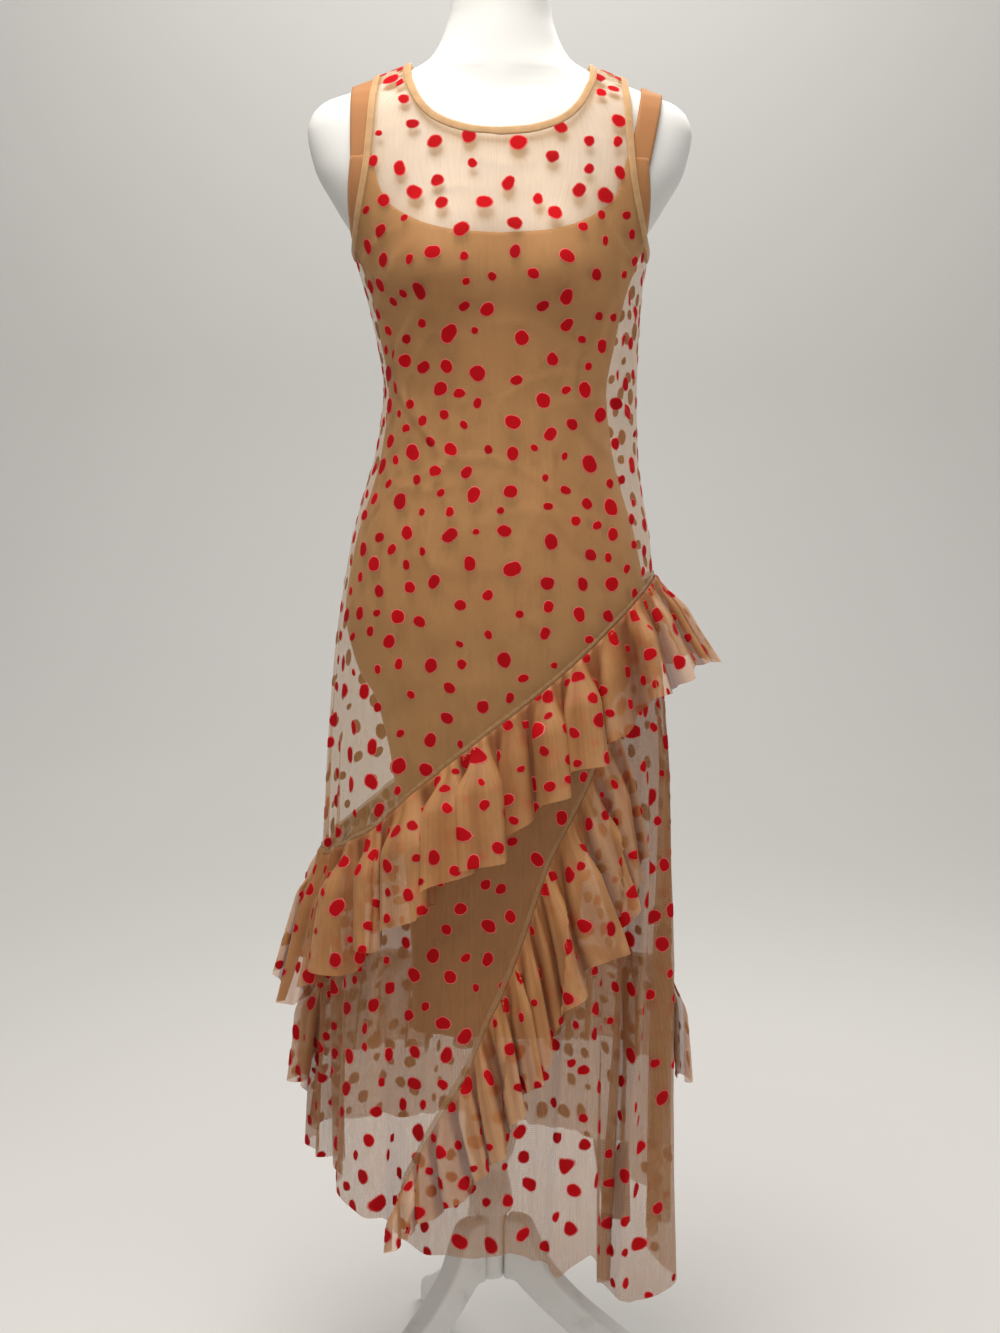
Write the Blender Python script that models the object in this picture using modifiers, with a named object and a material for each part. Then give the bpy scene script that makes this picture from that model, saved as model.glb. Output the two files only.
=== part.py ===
"""A sleeveless polka dot mesh dress with two diagonal ruffles, and the slip under it, on a dress form.

The form is a smooth torso with a neck and shoulder caps, on a turned column with three curved legs.
Units are metres, +Z is up and the dress faces -Y. An angle round the body is 0 at the front, 90
degrees at +X, which is the wearer's left, and 180 degrees at the back. The origin is on the floor,
under the middle of the whole object's box, and the stand's column is a little to one side of it.
"""

import math

import bmesh
import bpy
import numpy as np
from mathutils import Vector
from mathutils.geometry import delaunay_2d_cdt

# Where the stand's column and the form are, from the origin
COLUMN_X = -0.01915
COLUMN_Y = -0.0302

# Cloth walls and the gaps between them
CLOTH = 0.0010
SEAM_GAP = 0.0004
SLIP_CLEAR = 0.0028
DRESS_CLEAR = 0.0056
RUFFLE_SEAM = 0.0009
RUFFLE_GAP = 0.0016
BINDING_WIDTH = 0.0075
STRAP_WIDTH = 0.0200

# The torso: height, half width to -X and to +X, depth to the front and to the back, squareness
TORSO_SECTIONS = (
    (0.788, 0.127, 0.127, 0.089, 0.099, 2.2),
    (0.814, 0.141, 0.141, 0.099, 0.113, 2.2),
    (0.859, 0.150, 0.150, 0.106, 0.126, 2.2),
    (0.907, 0.144, 0.144, 0.104, 0.126, 2.2),
    (0.947, 0.136, 0.136, 0.101, 0.118, 2.2),
    (0.984, 0.125, 0.125, 0.096, 0.106, 2.2),
    (1.023, 0.115, 0.115, 0.090, 0.094, 2.2),
    (1.087, 0.108, 0.108, 0.084, 0.083, 2.2),
    (1.136, 0.116, 0.116, 0.089, 0.085, 2.2),
    (1.175, 0.124, 0.124, 0.093, 0.091, 2.2),
    (1.199, 0.131, 0.131, 0.095, 0.095, 2.3),
    (1.233, 0.144, 0.144, 0.094, 0.098, 2.3),
    (1.271, 0.167, 0.167, 0.087, 0.096, 2.3),
    (1.310, 0.188, 0.188, 0.076, 0.088, 2.2),
    (1.347, 0.195, 0.195, 0.065, 0.076, 2.0),
    (1.361, 0.191, 0.191, 0.061, 0.068, 1.9),
    (1.375, 0.178, 0.178, 0.057, 0.062, 1.7),
    (1.384, 0.154, 0.154, 0.055, 0.060, 1.6),
    (1.391, 0.136, 0.136, 0.054, 0.058, 1.6),
    (1.399, 0.112, 0.112, 0.053, 0.056, 1.7),
    (1.406, 0.092, 0.092, 0.052, 0.054, 1.9),
    (1.419, 0.071, 0.071, 0.050, 0.052, 2.0),
    (1.437, 0.060, 0.060, 0.048, 0.049, 2.0),
    (1.462, 0.052, 0.052, 0.046, 0.047, 2.0),
    (1.498, 0.049, 0.049, 0.045, 0.045, 2.0),
)
TORSO_BOTTOM = 0.788
TORSO_TOP = 1.498

# The bust: distance from the middle, height, spread sideways, up and down, and how far it stands out
BUST_X = 0.066
BUST_Z = 1.199
BUST_SPREAD = 0.046
BUST_ABOVE = 0.060
BUST_BELOW = 0.036
BUST_RISE = 0.020

# The slip below the form, in the same columns as the torso's sections
SLIP_SECTIONS = (
    (0.428, 0.082, 0.082, 0.076, 0.082, 2.2),
    (0.491, 0.084, 0.084, 0.079, 0.086, 2.2),
    (0.584, 0.091, 0.091, 0.085, 0.089, 2.2),
    (0.676, 0.102, 0.102, 0.091, 0.093, 2.2),
    (0.727, 0.110, 0.110, 0.095, 0.097, 2.2),
    (0.773, 0.123, 0.123, 0.098, 0.102, 2.2),
    (0.814, 0.143, 0.143, 0.102, 0.115, 2.2),
    (0.859, 0.152, 0.152, 0.108, 0.128, 2.2),
    (0.907, 0.146, 0.146, 0.106, 0.128, 2.2),
    (0.947, 0.137, 0.137, 0.102, 0.119, 2.2),
)
SLIP_HEM = 0.428

# The mesh dress from the hem to the bust, where it starts to follow the form
DRESS_SECTIONS = (
    (0.152, 0.183, 0.172, 0.158, 0.172, 2.1),
    (0.269, 0.180, 0.171, 0.152, 0.167, 2.1),
    (0.449, 0.173, 0.173, 0.141, 0.158, 2.1),
    (0.594, 0.169, 0.175, 0.131, 0.149, 2.1),
    (0.687, 0.166, 0.174, 0.123, 0.144, 2.1),
    (0.753, 0.163, 0.170, 0.118, 0.139, 2.1),
    (0.816, 0.159, 0.165, 0.114, 0.135, 2.2),
    (0.859, 0.155, 0.161, 0.112, 0.131, 2.2),
    (0.907, 0.148, 0.156, 0.109, 0.127, 2.2),
    (0.947, 0.140, 0.151, 0.105, 0.120, 2.2),
    (0.984, 0.130, 0.144, 0.100, 0.110, 2.2),
    (1.023, 0.119, 0.139, 0.095, 0.098, 2.2),
    (1.087, 0.111, 0.137, 0.091, 0.090, 2.2),
    (1.136, 0.118, 0.138, 0.094, 0.090, 2.2),
    (1.175, 0.127, 0.140, 0.097, 0.094, 2.2),
    (1.199, 0.134, 0.142, 0.098, 0.098, 2.3),
    (1.233, 0.146, 0.149, 0.097, 0.101, 2.3),
)

# The mesh skirt's folds: angle, outward at the hem, half width in degrees
SKIRT_FOLDS = (
    (-150, -0.013, 9),
    (-118, 0.021, 15),
    (-73, -0.030, 11),
    (-52, 0.012, 9),
    (-31, -0.010, 8),
    (-8, 0.007, 9),
    (13, -0.010, 8),
    (31, 0.010, 8),
    (45, -0.020, 7),
    (61, 0.017, 8),
    (79, -0.012, 7),
    (96, 0.012, 8),
    (119, -0.014, 8),
    (141, 0.013, 9),
    (163, -0.014, 8),
    (186, 0.012, 9),
)
SKIRT_FOLDS_START = 0.87
SKIRT_FOLDS_FULL = 0.24
SKIRT_FOLDS_GROWTH = 1.4

# The slip's folds below the form, in the same columns
SLIP_FOLDS = (
    (-158, -0.011, 11),
    (-122, 0.009, 12),
    (-86, -0.015, 12),
    (-52, 0.009, 11),
    (-4, -0.007, 16),
    (38, 0.009, 12),
    (72, -0.014, 12),
    (112, 0.009, 12),
    (150, -0.011, 12),
)
SLIP_FOLDS_START = 0.778
SLIP_FOLDS_FULL = 0.44
SLIP_FOLDS_GROWTH = 1.1

# The skirt's hem: angle, height
HEM = (
    (-180, 0.254),
    (-120, 0.278),
    (-80, 0.284),
    (-48, 0.268),
    (-32, 0.238),
    (-10, 0.233),
    (22, 0.222),
    (38, 0.186),
    (58, 0.166),
    (80, 0.182),
    (105, 0.215),
    (140, 0.245),
    (180, 0.254),
)

# The upper seam is a tilted ring, high at the wearer's left hip
UPPER_SEAM_MIDDLE = 0.753
UPPER_SEAM_TILT = 0.147

# The upper ruffle: drop from the seam, longer at -X and shorter at +X, its flare there, and its waves
UPPER_DROP = 0.113
UPPER_DROP_MINUS_X = 0.046
UPPER_DROP_PLUS_X = 0.026
UPPER_DROP_WAVE = 0.007
UPPER_FLARE = 0.007
UPPER_FLARE_MINUS_X = 0.026
UPPER_FLARE_PLUS_X = 0.036
UPPER_WAVE = 0.0060
UPPER_WAVES_PER_SIDE = 11

# The lower ruffle's seam on the front, from under the upper ruffle to the hem: angle, height
LOWER_SEAM = (
    (42, 0.752),
    (35, 0.722),
    (26, 0.666),
    (18, 0.622),
    (13, 0.580),
    (7, 0.528),
    (1, 0.480),
    (-7, 0.424),
    (-14, 0.372),
    (-23, 0.316),
    (-30, 0.272),
)
LOWER_DROP = 0.100
LOWER_DROP_END = 0.045
LOWER_FLARE = 0.005
LOWER_WAVE = 0.0045
LOWER_WAVES = 8

# The lower ruffle's part on the back, from the wearer's left to the right: height at each side
BACK_SEAM_LEFT = 0.482
BACK_SEAM_RIGHT = 0.470
BACK_SEAM_DIP = 0.020
BACK_DROP = 0.115
BACK_FLARE = 0.006
BACK_WAVE = 0.0060
BACK_WAVES = 10

# The neck, armholes and slip's top edge: distance from the middle, height
NECK_FRONT = (
    (0.0935, 1.4055),
    (0.0930, 1.3910),
    (0.0875, 1.3740),
    (0.0795, 1.3605),
    (0.0665, 1.3475),
    (0.0490, 1.3385),
    (0.0260, 1.3325),
    (0.0, 1.3305),
)
NECK_BACK = ((0.0935, 1.4055), (0.0800, 1.3960), (0.0560, 1.3885), (0.0280, 1.3845), (0.0, 1.3835))
ARM_FRONT = (
    (0.1460, 1.2200),
    (0.1395, 1.2360),
    (0.1330, 1.2620),
    (0.1275, 1.2950),
    (0.1245, 1.3300),
    (0.1225, 1.3650),
    (0.1190, 1.3965),
)
ARM_BACK = (
    (0.1460, 1.2200),
    (0.1430, 1.2430),
    (0.1400, 1.2800),
    (0.1350, 1.3190),
    (0.1275, 1.3600),
    (0.1190, 1.3965),
)
UNDERARM = 1.220
SHOULDER_TIP = 1.3965
SHOULDER_NECK = 1.4055
SLIP_NECK_FRONT = (
    (0.125, 1.313),
    (0.118, 1.286),
    (0.107, 1.265),
    (0.088, 1.251),
    (0.069, 1.241),
    (0.044, 1.235),
    (0.0, 1.2335),
)
SLIP_NECK_BACK = (
    (0.125, 1.300),
    (0.118, 1.281),
    (0.103, 1.264),
    (0.079, 1.252),
    (0.044, 1.2455),
    (0.0, 1.2435),
)
SLIP_ARM_FRONT = ((0.1443, 1.231), (0.1463, 1.247), (0.1480, 1.276), (0.1460, 1.313))
SLIP_ARM_BACK = ((0.1443, 1.231), (0.1473, 1.247), (0.1481, 1.272), (0.1460, 1.300))
SLIP_UNDERARM = 1.231

# The slip's straps: distance from the middle at the front, on the shoulder and at the back
STRAP_PATHS = {
    "slip_strap_minus_x": (-0.1355, -0.1375, -0.1355),
    "slip_strap_plus_x": (0.1355, 0.1520, 0.1355),
}
SHOULDER_WIDEST = 1.347
STRAP_FRONT = 1.3135
STRAP_BACK = 1.3005

# The care label inside the skirt: where it is sewn, round the body, how far it turns inwards, and how
# far inside the cloth its seat lies
LABEL_ANGLE = 54
LABEL_TURN = 13
LABEL_SEAT = 0.0022
LABEL_WIDTH = 0.036
LABEL_BOW = 0.003
LABEL_TOP = 0.333
LABEL_BOTTOM = 0.245

# The stand: the column's profile from the top, as radius and height
COLUMN_PROFILE = (
    (0.0125, 0.5010),
    (0.0190, 0.4970),
    (0.0210, 0.4865),
    (0.0190, 0.4760),
    (0.0155, 0.4720),
    (0.0165, 0.4440),
    (0.0195, 0.4020),
    (0.0235, 0.3650),
    (0.0268, 0.3310),
    (0.0278, 0.3070),
    (0.0253, 0.2855),
    (0.0196, 0.2715),
    (0.0170, 0.2650),
    (0.0176, 0.2590),
    (0.0212, 0.2440),
    (0.0233, 0.2270),
    (0.0233, 0.2205),
    (0.0212, 0.2160),
    (0.0176, 0.2130),
    (0.0176, 0.1490),
    (0.0155, 0.1440),
    (0.0104, 0.1413),
)
POLE_RADIUS = 0.0120
FLANGE_RADIUS = 0.0450
FLANGE_THICKNESS = 0.0060
POLE_FOOT = 0.5015
HUB_RADIUS = 0.0176

# A leg's outline in its own plane: distance from the column, height
LEG_UPPER = (
    (0.0310, 0.2115),
    (0.0415, 0.2075),
    (0.0500, 0.1925),
    (0.0630, 0.1655),
    (0.0845, 0.1420),
    (0.1075, 0.1225),
    (0.1360, 0.1025),
    (0.1650, 0.0825),
    (0.1950, 0.0640),
    (0.2230, 0.0480),
    (0.2480, 0.0360),
    (0.2600, 0.0280),
)
LEG_LOWER = (
    (0.2660, 0.0170),
    (0.2660, 0.0000),
    (0.2210, 0.0000),
    (0.2020, 0.0115),
    (0.1780, 0.0280),
    (0.1420, 0.0530),
    (0.1045, 0.0810),
    (0.0765, 0.1030),
    (0.0575, 0.1180),
    (0.0385, 0.1355),
    (0.0280, 0.1440),
)
LEG_WIDTH = 0.0270
LEG_ROUNDING = 0.0040
LEG_ANGLES = {"leg_front": -44, "leg_side": 76, "leg_back": 196}

# How finely the solids are cut
PANEL_STEP = (0.027, 0.044)
SLIP_STEP = (0.024, 0.043)
SKIRT_STEP = (0.0135, 0.070)
TORSO_COLUMNS = 30
TORSO_ROWS = 24
EDGE_STEP = 0.0140
RUFFLE_ROWS = 3
COLUMNS_PER_WAVE = 6
COLUMN_STEPS = 18

# Domain scale: the angle times this is close to the real distance round the body
BODY_RADIUS = 0.140

WHITE_PAINT = ("white_paint", (0.86, 0.86, 0.84), 0.45)
WHITE_FORM = ("form_white", (0.88, 0.88, 0.86), 0.60)
MESH_TAN = ("mesh_tan", (0.62, 0.42, 0.24), 0.80)
SLIP_TAN = ("slip_tan", (0.52, 0.33, 0.16), 0.75)
BINDING_TAN = ("binding_tan", (0.50, 0.31, 0.15), 0.75)
LABEL_WHITE = ("label_white", (0.85, 0.84, 0.82), 0.50)


def smooth_reader(places, values):
    """A function that reads values between the given places, smoothly and with no overshoot."""
    steps = np.diff(places)
    rises = np.diff(values) / steps
    slopes = np.zeros(len(values))
    before, after = rises[:-1], rises[1:]
    same_way = before * after > 0
    total = np.where(same_way, before + after, 1.0)
    slopes[1:-1] = np.where(same_way, 2 * before * after / total, 0.0)
    slopes[0], slopes[-1] = rises[0], rises[-1]

    def read(at):
        at = np.clip(at, places[0], places[-1])
        i = np.clip(np.searchsorted(places, at) - 1, 0, len(steps) - 1)
        t = (at - places[i]) / steps[i]
        start = (1 + 2 * t) * (1 - t) ** 2 * values[i] + t * (1 - t) ** 2 * steps[i] * slopes[i]
        end = t * t * (3 - 2 * t) * values[i + 1] + t * t * (t - 1) * steps[i] * slopes[i + 1]
        return start + end

    return read


def column_readers(sections):
    rows = np.array(sorted(sections))
    return [smooth_reader(rows[:, 0], rows[:, k]) for k in range(1, rows.shape[1])]


def fold_depth(angle, folds):
    """How far the folds push out at an angle, in radians, where they are full."""
    depth = np.zeros_like(angle)
    for middle, outward, half_width in folds:
        away = np.degrees(angle) - middle
        away = (away + 180) % 360 - 180
        depth = depth + outward * np.exp(-((away / half_width) ** 2))
    return depth


def grown(z, start, full, growth):
    return np.clip((start - z) / (start - full), 0, 1.15) ** growth


def bust_rise(x, z):
    """How far the bust stands out to the front at a place on the chest."""
    spread_z = np.where(z > BUST_Z, BUST_ABOVE, BUST_BELOW)
    up = ((z - BUST_Z) / spread_z) ** 2
    each = [np.exp(-(((x - side * BUST_X) / BUST_SPREAD) ** 2) - up) for side in (-1, 1)]
    return BUST_RISE * (each[0] + each[1])


class Body:
    """A surface round the body: points from an angle and a height, and the directions out of it."""

    def __init__(self, sections, folds=(), start=1.0, full=0.0, growth=1.0):
        self.columns = column_readers(sections)
        self.folds, self.start, self.full, self.growth = folds, start, full, growth

    def half_width(self, z):
        return float(self.columns[1](np.array([z]))[0])

    def point(self, angle, z, inward=1.0):
        """inward is the share of each inward fold that is kept, for cloth that lies on the folds."""
        angle, z = np.broadcast_arrays(np.asarray(angle, float), np.asarray(z, float))
        minus_x, plus_x, front, back, square = (column(z) for column in self.columns)
        sine, cosine = np.sin(angle), np.cos(angle)
        width = np.where(sine > 0, plus_x, minus_x)
        depth = np.where(cosine > 0, front, back)
        x = width * np.sign(sine) * np.abs(sine) ** (2 / square)
        y = -depth * np.sign(cosine) * np.abs(cosine) ** (2 / square)
        y = y - np.where(cosine > 0, bust_rise(x, z) * np.clip(cosine * 3, 0, 1), 0)
        out = fold_depth(angle, self.folds) * grown(z, self.start, self.full, self.growth)
        out = np.where(out < 0, out * inward, out)
        return np.stack([x + out * sine, y - out * cosine, z], axis=-1)

    def out(self, angle, z, inward=1.0, step=0.004):
        """The unit direction out of the surface."""
        round_it = self.point(angle + step, z, inward) - self.point(angle - step, z, inward)
        up = self.point(angle, z + step * 0.2, inward) - self.point(angle, z - step * 0.2, inward)
        normal = np.cross(round_it, up)
        return normal / np.linalg.norm(normal, axis=-1, keepdims=True)

    def angle_at(self, x, z):
        """The angle on the front where the surface is this far from the middle."""
        width, square = self.half_width(z), float(self.columns[4](np.array([z]))[0])
        return math.copysign(math.asin(min(1.0, abs(x) / width) ** (square / 2)), x)

    def seam_angle(self, z):
        """The angle just in front of the side seam, half a seam gap from it."""
        front, square = (float(self.columns[k](np.array([z]))[0]) for k in (2, 4))
        return math.acos((SEAM_GAP / 2 / front) ** (square / 2))


def on_torso(sections):
    """The sections, and the torso's own above them."""
    top = max(row[0] for row in sections)
    return tuple(sections) + tuple(row for row in TORSO_SECTIONS if row[0] > top)


TORSO = Body(TORSO_SECTIONS)
SLIP = Body(
    on_torso(SLIP_SECTIONS), SLIP_FOLDS, SLIP_FOLDS_START, SLIP_FOLDS_FULL, SLIP_FOLDS_GROWTH
)
DRESS = Body(
    on_torso(DRESS_SECTIONS), SKIRT_FOLDS, SKIRT_FOLDS_START, SKIRT_FOLDS_FULL, SKIRT_FOLDS_GROWTH
)

# Lengths up the side of the torso, so that the flat tops of the shoulders are cut as finely as the rest
CHEST = 1.233
SIDE_HEIGHTS = np.linspace(0.0, TORSO_TOP, 1500)
SIDE_WIDTHS = TORSO.columns[1](np.maximum(SIDE_HEIGHTS, CHEST))
SIDE_LENGTHS = np.concatenate([[0], np.cumsum(np.hypot(np.diff(SIDE_HEIGHTS), np.diff(SIDE_WIDTHS)))])


def level_of(z):
    return np.interp(z, SIDE_HEIGHTS, SIDE_LENGTHS)


def height_of(level):
    return np.interp(level, SIDE_LENGTHS, SIDE_HEIGHTS)


def upper_seam(angle):
    return UPPER_SEAM_MIDDLE + UPPER_SEAM_TILT * np.sin(angle)


HEM_READER = smooth_reader(*np.array(HEM, float).T)


def hem(angle):
    degrees = (np.degrees(angle) + 180) % 360 - 180
    return HEM_READER(degrees)


def through(rows, count):
    """count points along a smooth curve through the rows, evenly spaced."""
    rows = np.array(rows, float)
    along = np.concatenate([[0], np.cumsum(np.linalg.norm(np.diff(rows, axis=0), axis=1))])
    at = np.linspace(0, along[-1], count)
    return np.stack([smooth_reader(along, rows[:, k])(at) for k in range(rows.shape[1])], axis=1)


def edge_path(body, rows, step):
    """Rows of distance from the middle and height, as angles and heights evenly along the surface."""
    fine = through(rows, 240)
    angles = np.array([min(body.angle_at(x, z), body.seam_angle(z)) for x, z in fine])
    hops = np.linalg.norm(np.diff(body.point(angles, fine[:, 1]), axis=0), axis=1)
    along = np.concatenate([[0], np.cumsum(hops)])
    at = np.linspace(0, along[-1], round(along[-1] / step) + 1)
    return list(zip(np.interp(at, along, angles).tolist(), np.interp(at, along, fine[:, 1]).tolist()))


def side_up(body, low, high, step):
    count = max(2, round(float(level_of(high) - level_of(low)) / step) + 1)
    heights = height_of(np.linspace(level_of(low), level_of(high), count))
    return [(body.seam_angle(z), float(z)) for z in heights]


def to_back(rows):
    return [(math.pi - angle, z) for angle, z in rows]


def mirrored(rows):
    return [(-angle, z) for angle, z in rows]


def both_sides(bottom, right):
    """A closed outline: the bottom from -X to +X, then the +X side up to the middle, and its mirror."""
    left = [(-angle, z) for angle, z in reversed(right[1:-1])]
    middle = [right[-1]] if abs(right[-1][0]) < 1e-6 else [right[-1], (-right[-1][0], right[-1][1])]
    return bottom + right[1:-1] + middle + left


def scaled(outline, step):
    """The closed outline in units of the step."""
    return np.array([(angle * BODY_RADIUS / step[0], level_of(z) / step[1]) for angle, z in outline])


def inside(points, loop):
    """True for each point that is inside the closed loop and not close to it."""
    x, y = points[:, :1], points[:, 1:]
    a, b = loop, np.roll(loop, -1, axis=0)
    crosses = (a[:, 1] > y) != (b[:, 1] > y)
    rise = np.where(b[:, 1] == a[:, 1], 1.0, b[:, 1] - a[:, 1])
    odd = (crosses & (x < (b[:, 0] - a[:, 0]) * (y - a[:, 1]) / rise + a[:, 0])).sum(axis=1) % 2 == 1
    along = b - a
    share = ((x - a[:, 0]) * along[:, 0] + (y - a[:, 1]) * along[:, 1]) / (along**2).sum(axis=1)
    near = a + np.clip(share, 0, 1)[..., None] * along
    distance = np.hypot(x - near[..., 0], y - near[..., 1]).min(axis=1)
    return odd & (distance > 0.55)


def filled(outline, step):
    """The outline filled with triangles: angles, heights, the triangles and the length of the loop."""
    loop = scaled(outline, step)
    low, high = loop.min(axis=0), loop.max(axis=0)
    grid = []
    for row, y in enumerate(np.arange(low[1] + 0.5, high[1], 0.87)):
        grid += [(x, y) for x in np.arange(low[0] + 0.5 * (row % 2), high[0], 1.0)]
    grid = np.array(grid)
    points = np.concatenate([loop, grid[inside(grid, loop)]])
    border = [list(range(len(loop)))]
    made = delaunay_2d_cdt([Vector(p) for p in points], [], border, 1, 1e-6)
    flat = np.array([tuple(p) for p in made[0]])
    angles = flat[:, 0] * step[0] / BODY_RADIUS
    return angles, height_of(flat[:, 1] * step[1]), [tuple(f) for f in made[2]]


def material(settings):
    name, colour, roughness = settings
    found = bpy.data.materials.get(name)
    if found:
        return found
    made = bpy.data.materials.new(name)
    made.use_nodes = True
    shader = made.node_tree.nodes["Principled BSDF"]
    shader.inputs["Base Color"].default_value = (*colour, 1)
    shader.inputs["Roughness"].default_value = roughness
    shader.inputs["Metallic"].default_value = 0.0
    return made


def place(name, mesh, finish, parts, column):
    made = bpy.data.objects.new(name, mesh)
    made.parent = column
    parts.objects.link(made)
    mesh.materials.append(material(finish))
    return made


def wall(name, inner, outer, triangles, finish, parts, column):
    """A closed wall between two sheets of points that share their triangles."""
    mesh = bmesh.new()
    low = [mesh.verts.new(p) for p in inner]
    high = [mesh.verts.new(p) for p in outer]
    edges = {}
    for corners in triangles:
        mesh.faces.new([high[k] for k in corners])
        mesh.faces.new([low[k] for k in reversed(corners)])
        for a, b in zip(corners, corners[1:] + corners[:1]):
            edges[(a, b)] = (b, a) not in edges
            edges[(b, a)] = edges.get((b, a), False) and edges[(a, b)]
    for a, b in [pair for pair, alone in edges.items() if alone]:
        mesh.faces.new([high[b], high[a], low[a], low[b]])
    bmesh.ops.triangulate(mesh, faces=[f for f in mesh.faces if len(f.verts) > 3])
    bmesh.ops.recalc_face_normals(mesh, faces=mesh.faces)
    made = bpy.data.meshes.new(name)
    mesh.to_mesh(made)
    mesh.free()
    made.shade_smooth()
    made.set_sharp_from_angle(angle=math.radians(50))
    return place(name, made, finish, parts, column)


def panel(name, body, outline, facing, offset, step, finish, parts, column):
    """A cloth panel of the front or the back, cut by its outline and moved out from the body."""
    angles, heights, triangles = filled(outline, step)
    if facing == "back":
        angles = math.pi - angles
    points, out = body.point(angles, heights), body.out(angles, heights)
    inner, outer = points + out * offset, points + out * (offset + CLOTH)
    return wall(name, inner, outer, triangles, finish, parts, column)


def grid_triangles(rows, columns, closed=False):
    """Triangles of a grid whose points run along each row in turn."""
    triangles = []
    for j in range(rows - 1):
        for i in range(columns if closed else columns - 1):
            k = (i + 1) % columns
            a, b, c, d = j * columns + i, j * columns + k, (j + 1) * columns + k, (j + 1) * columns + i
            triangles += [(a, b, c), (a, c, d)]
    return triangles


def grid_out(points, closed=False):
    """The unit direction out of a grid of points, rows first, from its neighbours."""
    if closed:
        round_it = np.roll(points, -1, axis=1) - np.roll(points, 1, axis=1)
    else:
        round_it = np.gradient(points, axis=1)
    normal = np.cross(round_it, -np.gradient(points, axis=0))
    return normal / np.linalg.norm(normal, axis=-1, keepdims=True)


def strip(name, points, finish, parts, column, closed=False, flip=False):
    """A wall from a grid of inner points, rows first, given its thickness outwards."""
    rows, columns = points.shape[:2]
    out = grid_out(points, closed) * (-1 if flip else 1)
    outer = points + out * CLOTH
    triangles = grid_triangles(rows, columns, closed)
    return wall(name, points.reshape(-1, 3), outer.reshape(-1, 3), triangles, finish, parts, column)


def make_torso(parts, column):
    """Rings of points from the bottom to the neck, closed by a flat cap at each end."""
    levels = np.linspace(float(level_of(TORSO_BOTTOM)), float(level_of(TORSO_TOP)), TORSO_ROWS)
    angles = np.linspace(0, 2 * math.pi, TORSO_COLUMNS, endpoint=False)
    mesh = bmesh.new()
    rings = []
    for z in height_of(levels):
        rings.append([mesh.verts.new(p) for p in TORSO.point(angles, np.full_like(angles, z))])
    for below, above in zip(rings, rings[1:]):
        for k in range(TORSO_COLUMNS):
            n = (k + 1) % TORSO_COLUMNS
            mesh.faces.new([below[k], below[n], above[n], above[k]])
    mesh.faces.new(rings[0])
    mesh.faces.new(rings[-1])
    bmesh.ops.recalc_face_normals(mesh, faces=mesh.faces)
    made = bpy.data.meshes.new("torso")
    mesh.to_mesh(made)
    mesh.free()
    made.shade_smooth()
    made.set_sharp_from_angle(angle=math.radians(40))
    place("torso", made, WHITE_FORM, parts, column)


def turned(name, profile, finish, parts, column):
    """A turned solid: its profile from the axis at the top to the axis at the bottom."""
    points = [(0.0, profile[0][1]), *profile, (0.0, profile[-1][1])]
    mesh = bpy.data.meshes.new(name)
    mesh.from_pydata([(r, 0.0, z) for r, z in points], [(k, k + 1) for k in range(len(points) - 1)], [])
    made = place(name, mesh, finish, parts, column)
    screw = made.modifiers.new("turn", "SCREW")
    screw.steps = screw.render_steps = COLUMN_STEPS
    screw.use_merge_vertices = True
    screw.merge_threshold = 0.00001
    screw.use_smooth_shade = True


def make_stand(parts, column):
    turned("stand_column", COLUMN_PROFILE, WHITE_PAINT, parts, column)
    plate_low = TORSO_BOTTOM - SEAM_GAP - FLANGE_THICKNESS
    pole = (
        (FLANGE_RADIUS, TORSO_BOTTOM - SEAM_GAP),
        (FLANGE_RADIUS, plate_low),
        (POLE_RADIUS, plate_low),
        (POLE_RADIUS, POLE_FOOT),
    )
    turned("stand_pole", pole, WHITE_PAINT, parts, column)
    root = HUB_RADIUS + SEAM_GAP
    outline = [(root, LEG_UPPER[0][1]), *LEG_UPPER, *LEG_LOWER, (root, LEG_LOWER[-1][1])]
    for name, degrees in LEG_ANGLES.items():
        curve = bpy.data.curves.new(name, "CURVE")
        curve.dimensions = "2D"
        curve.fill_mode = "BOTH"
        curve.extrude = LEG_WIDTH / 2
        spline = curve.splines.new("POLY")
        spline.points.add(len(outline) - 1)
        for point, (away, z) in zip(spline.points, outline):
            point.co = (away, z, 0, 1)
        spline.use_cyclic_u = True
        leg = place(name, curve, WHITE_PAINT, parts, column)
        leg.rotation_euler = (math.pi / 2, 0, math.radians(degrees - 90))
        weld = leg.modifiers.new("weld", "WELD")
        weld.merge_threshold = 0.00001
        rounding = leg.modifiers.new("rounding", "BEVEL")
        rounding.width = LEG_ROUNDING
        rounding.segments = 1
        rounding.limit_method = "ANGLE"
        rounding.angle_limit = math.radians(50)


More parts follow.
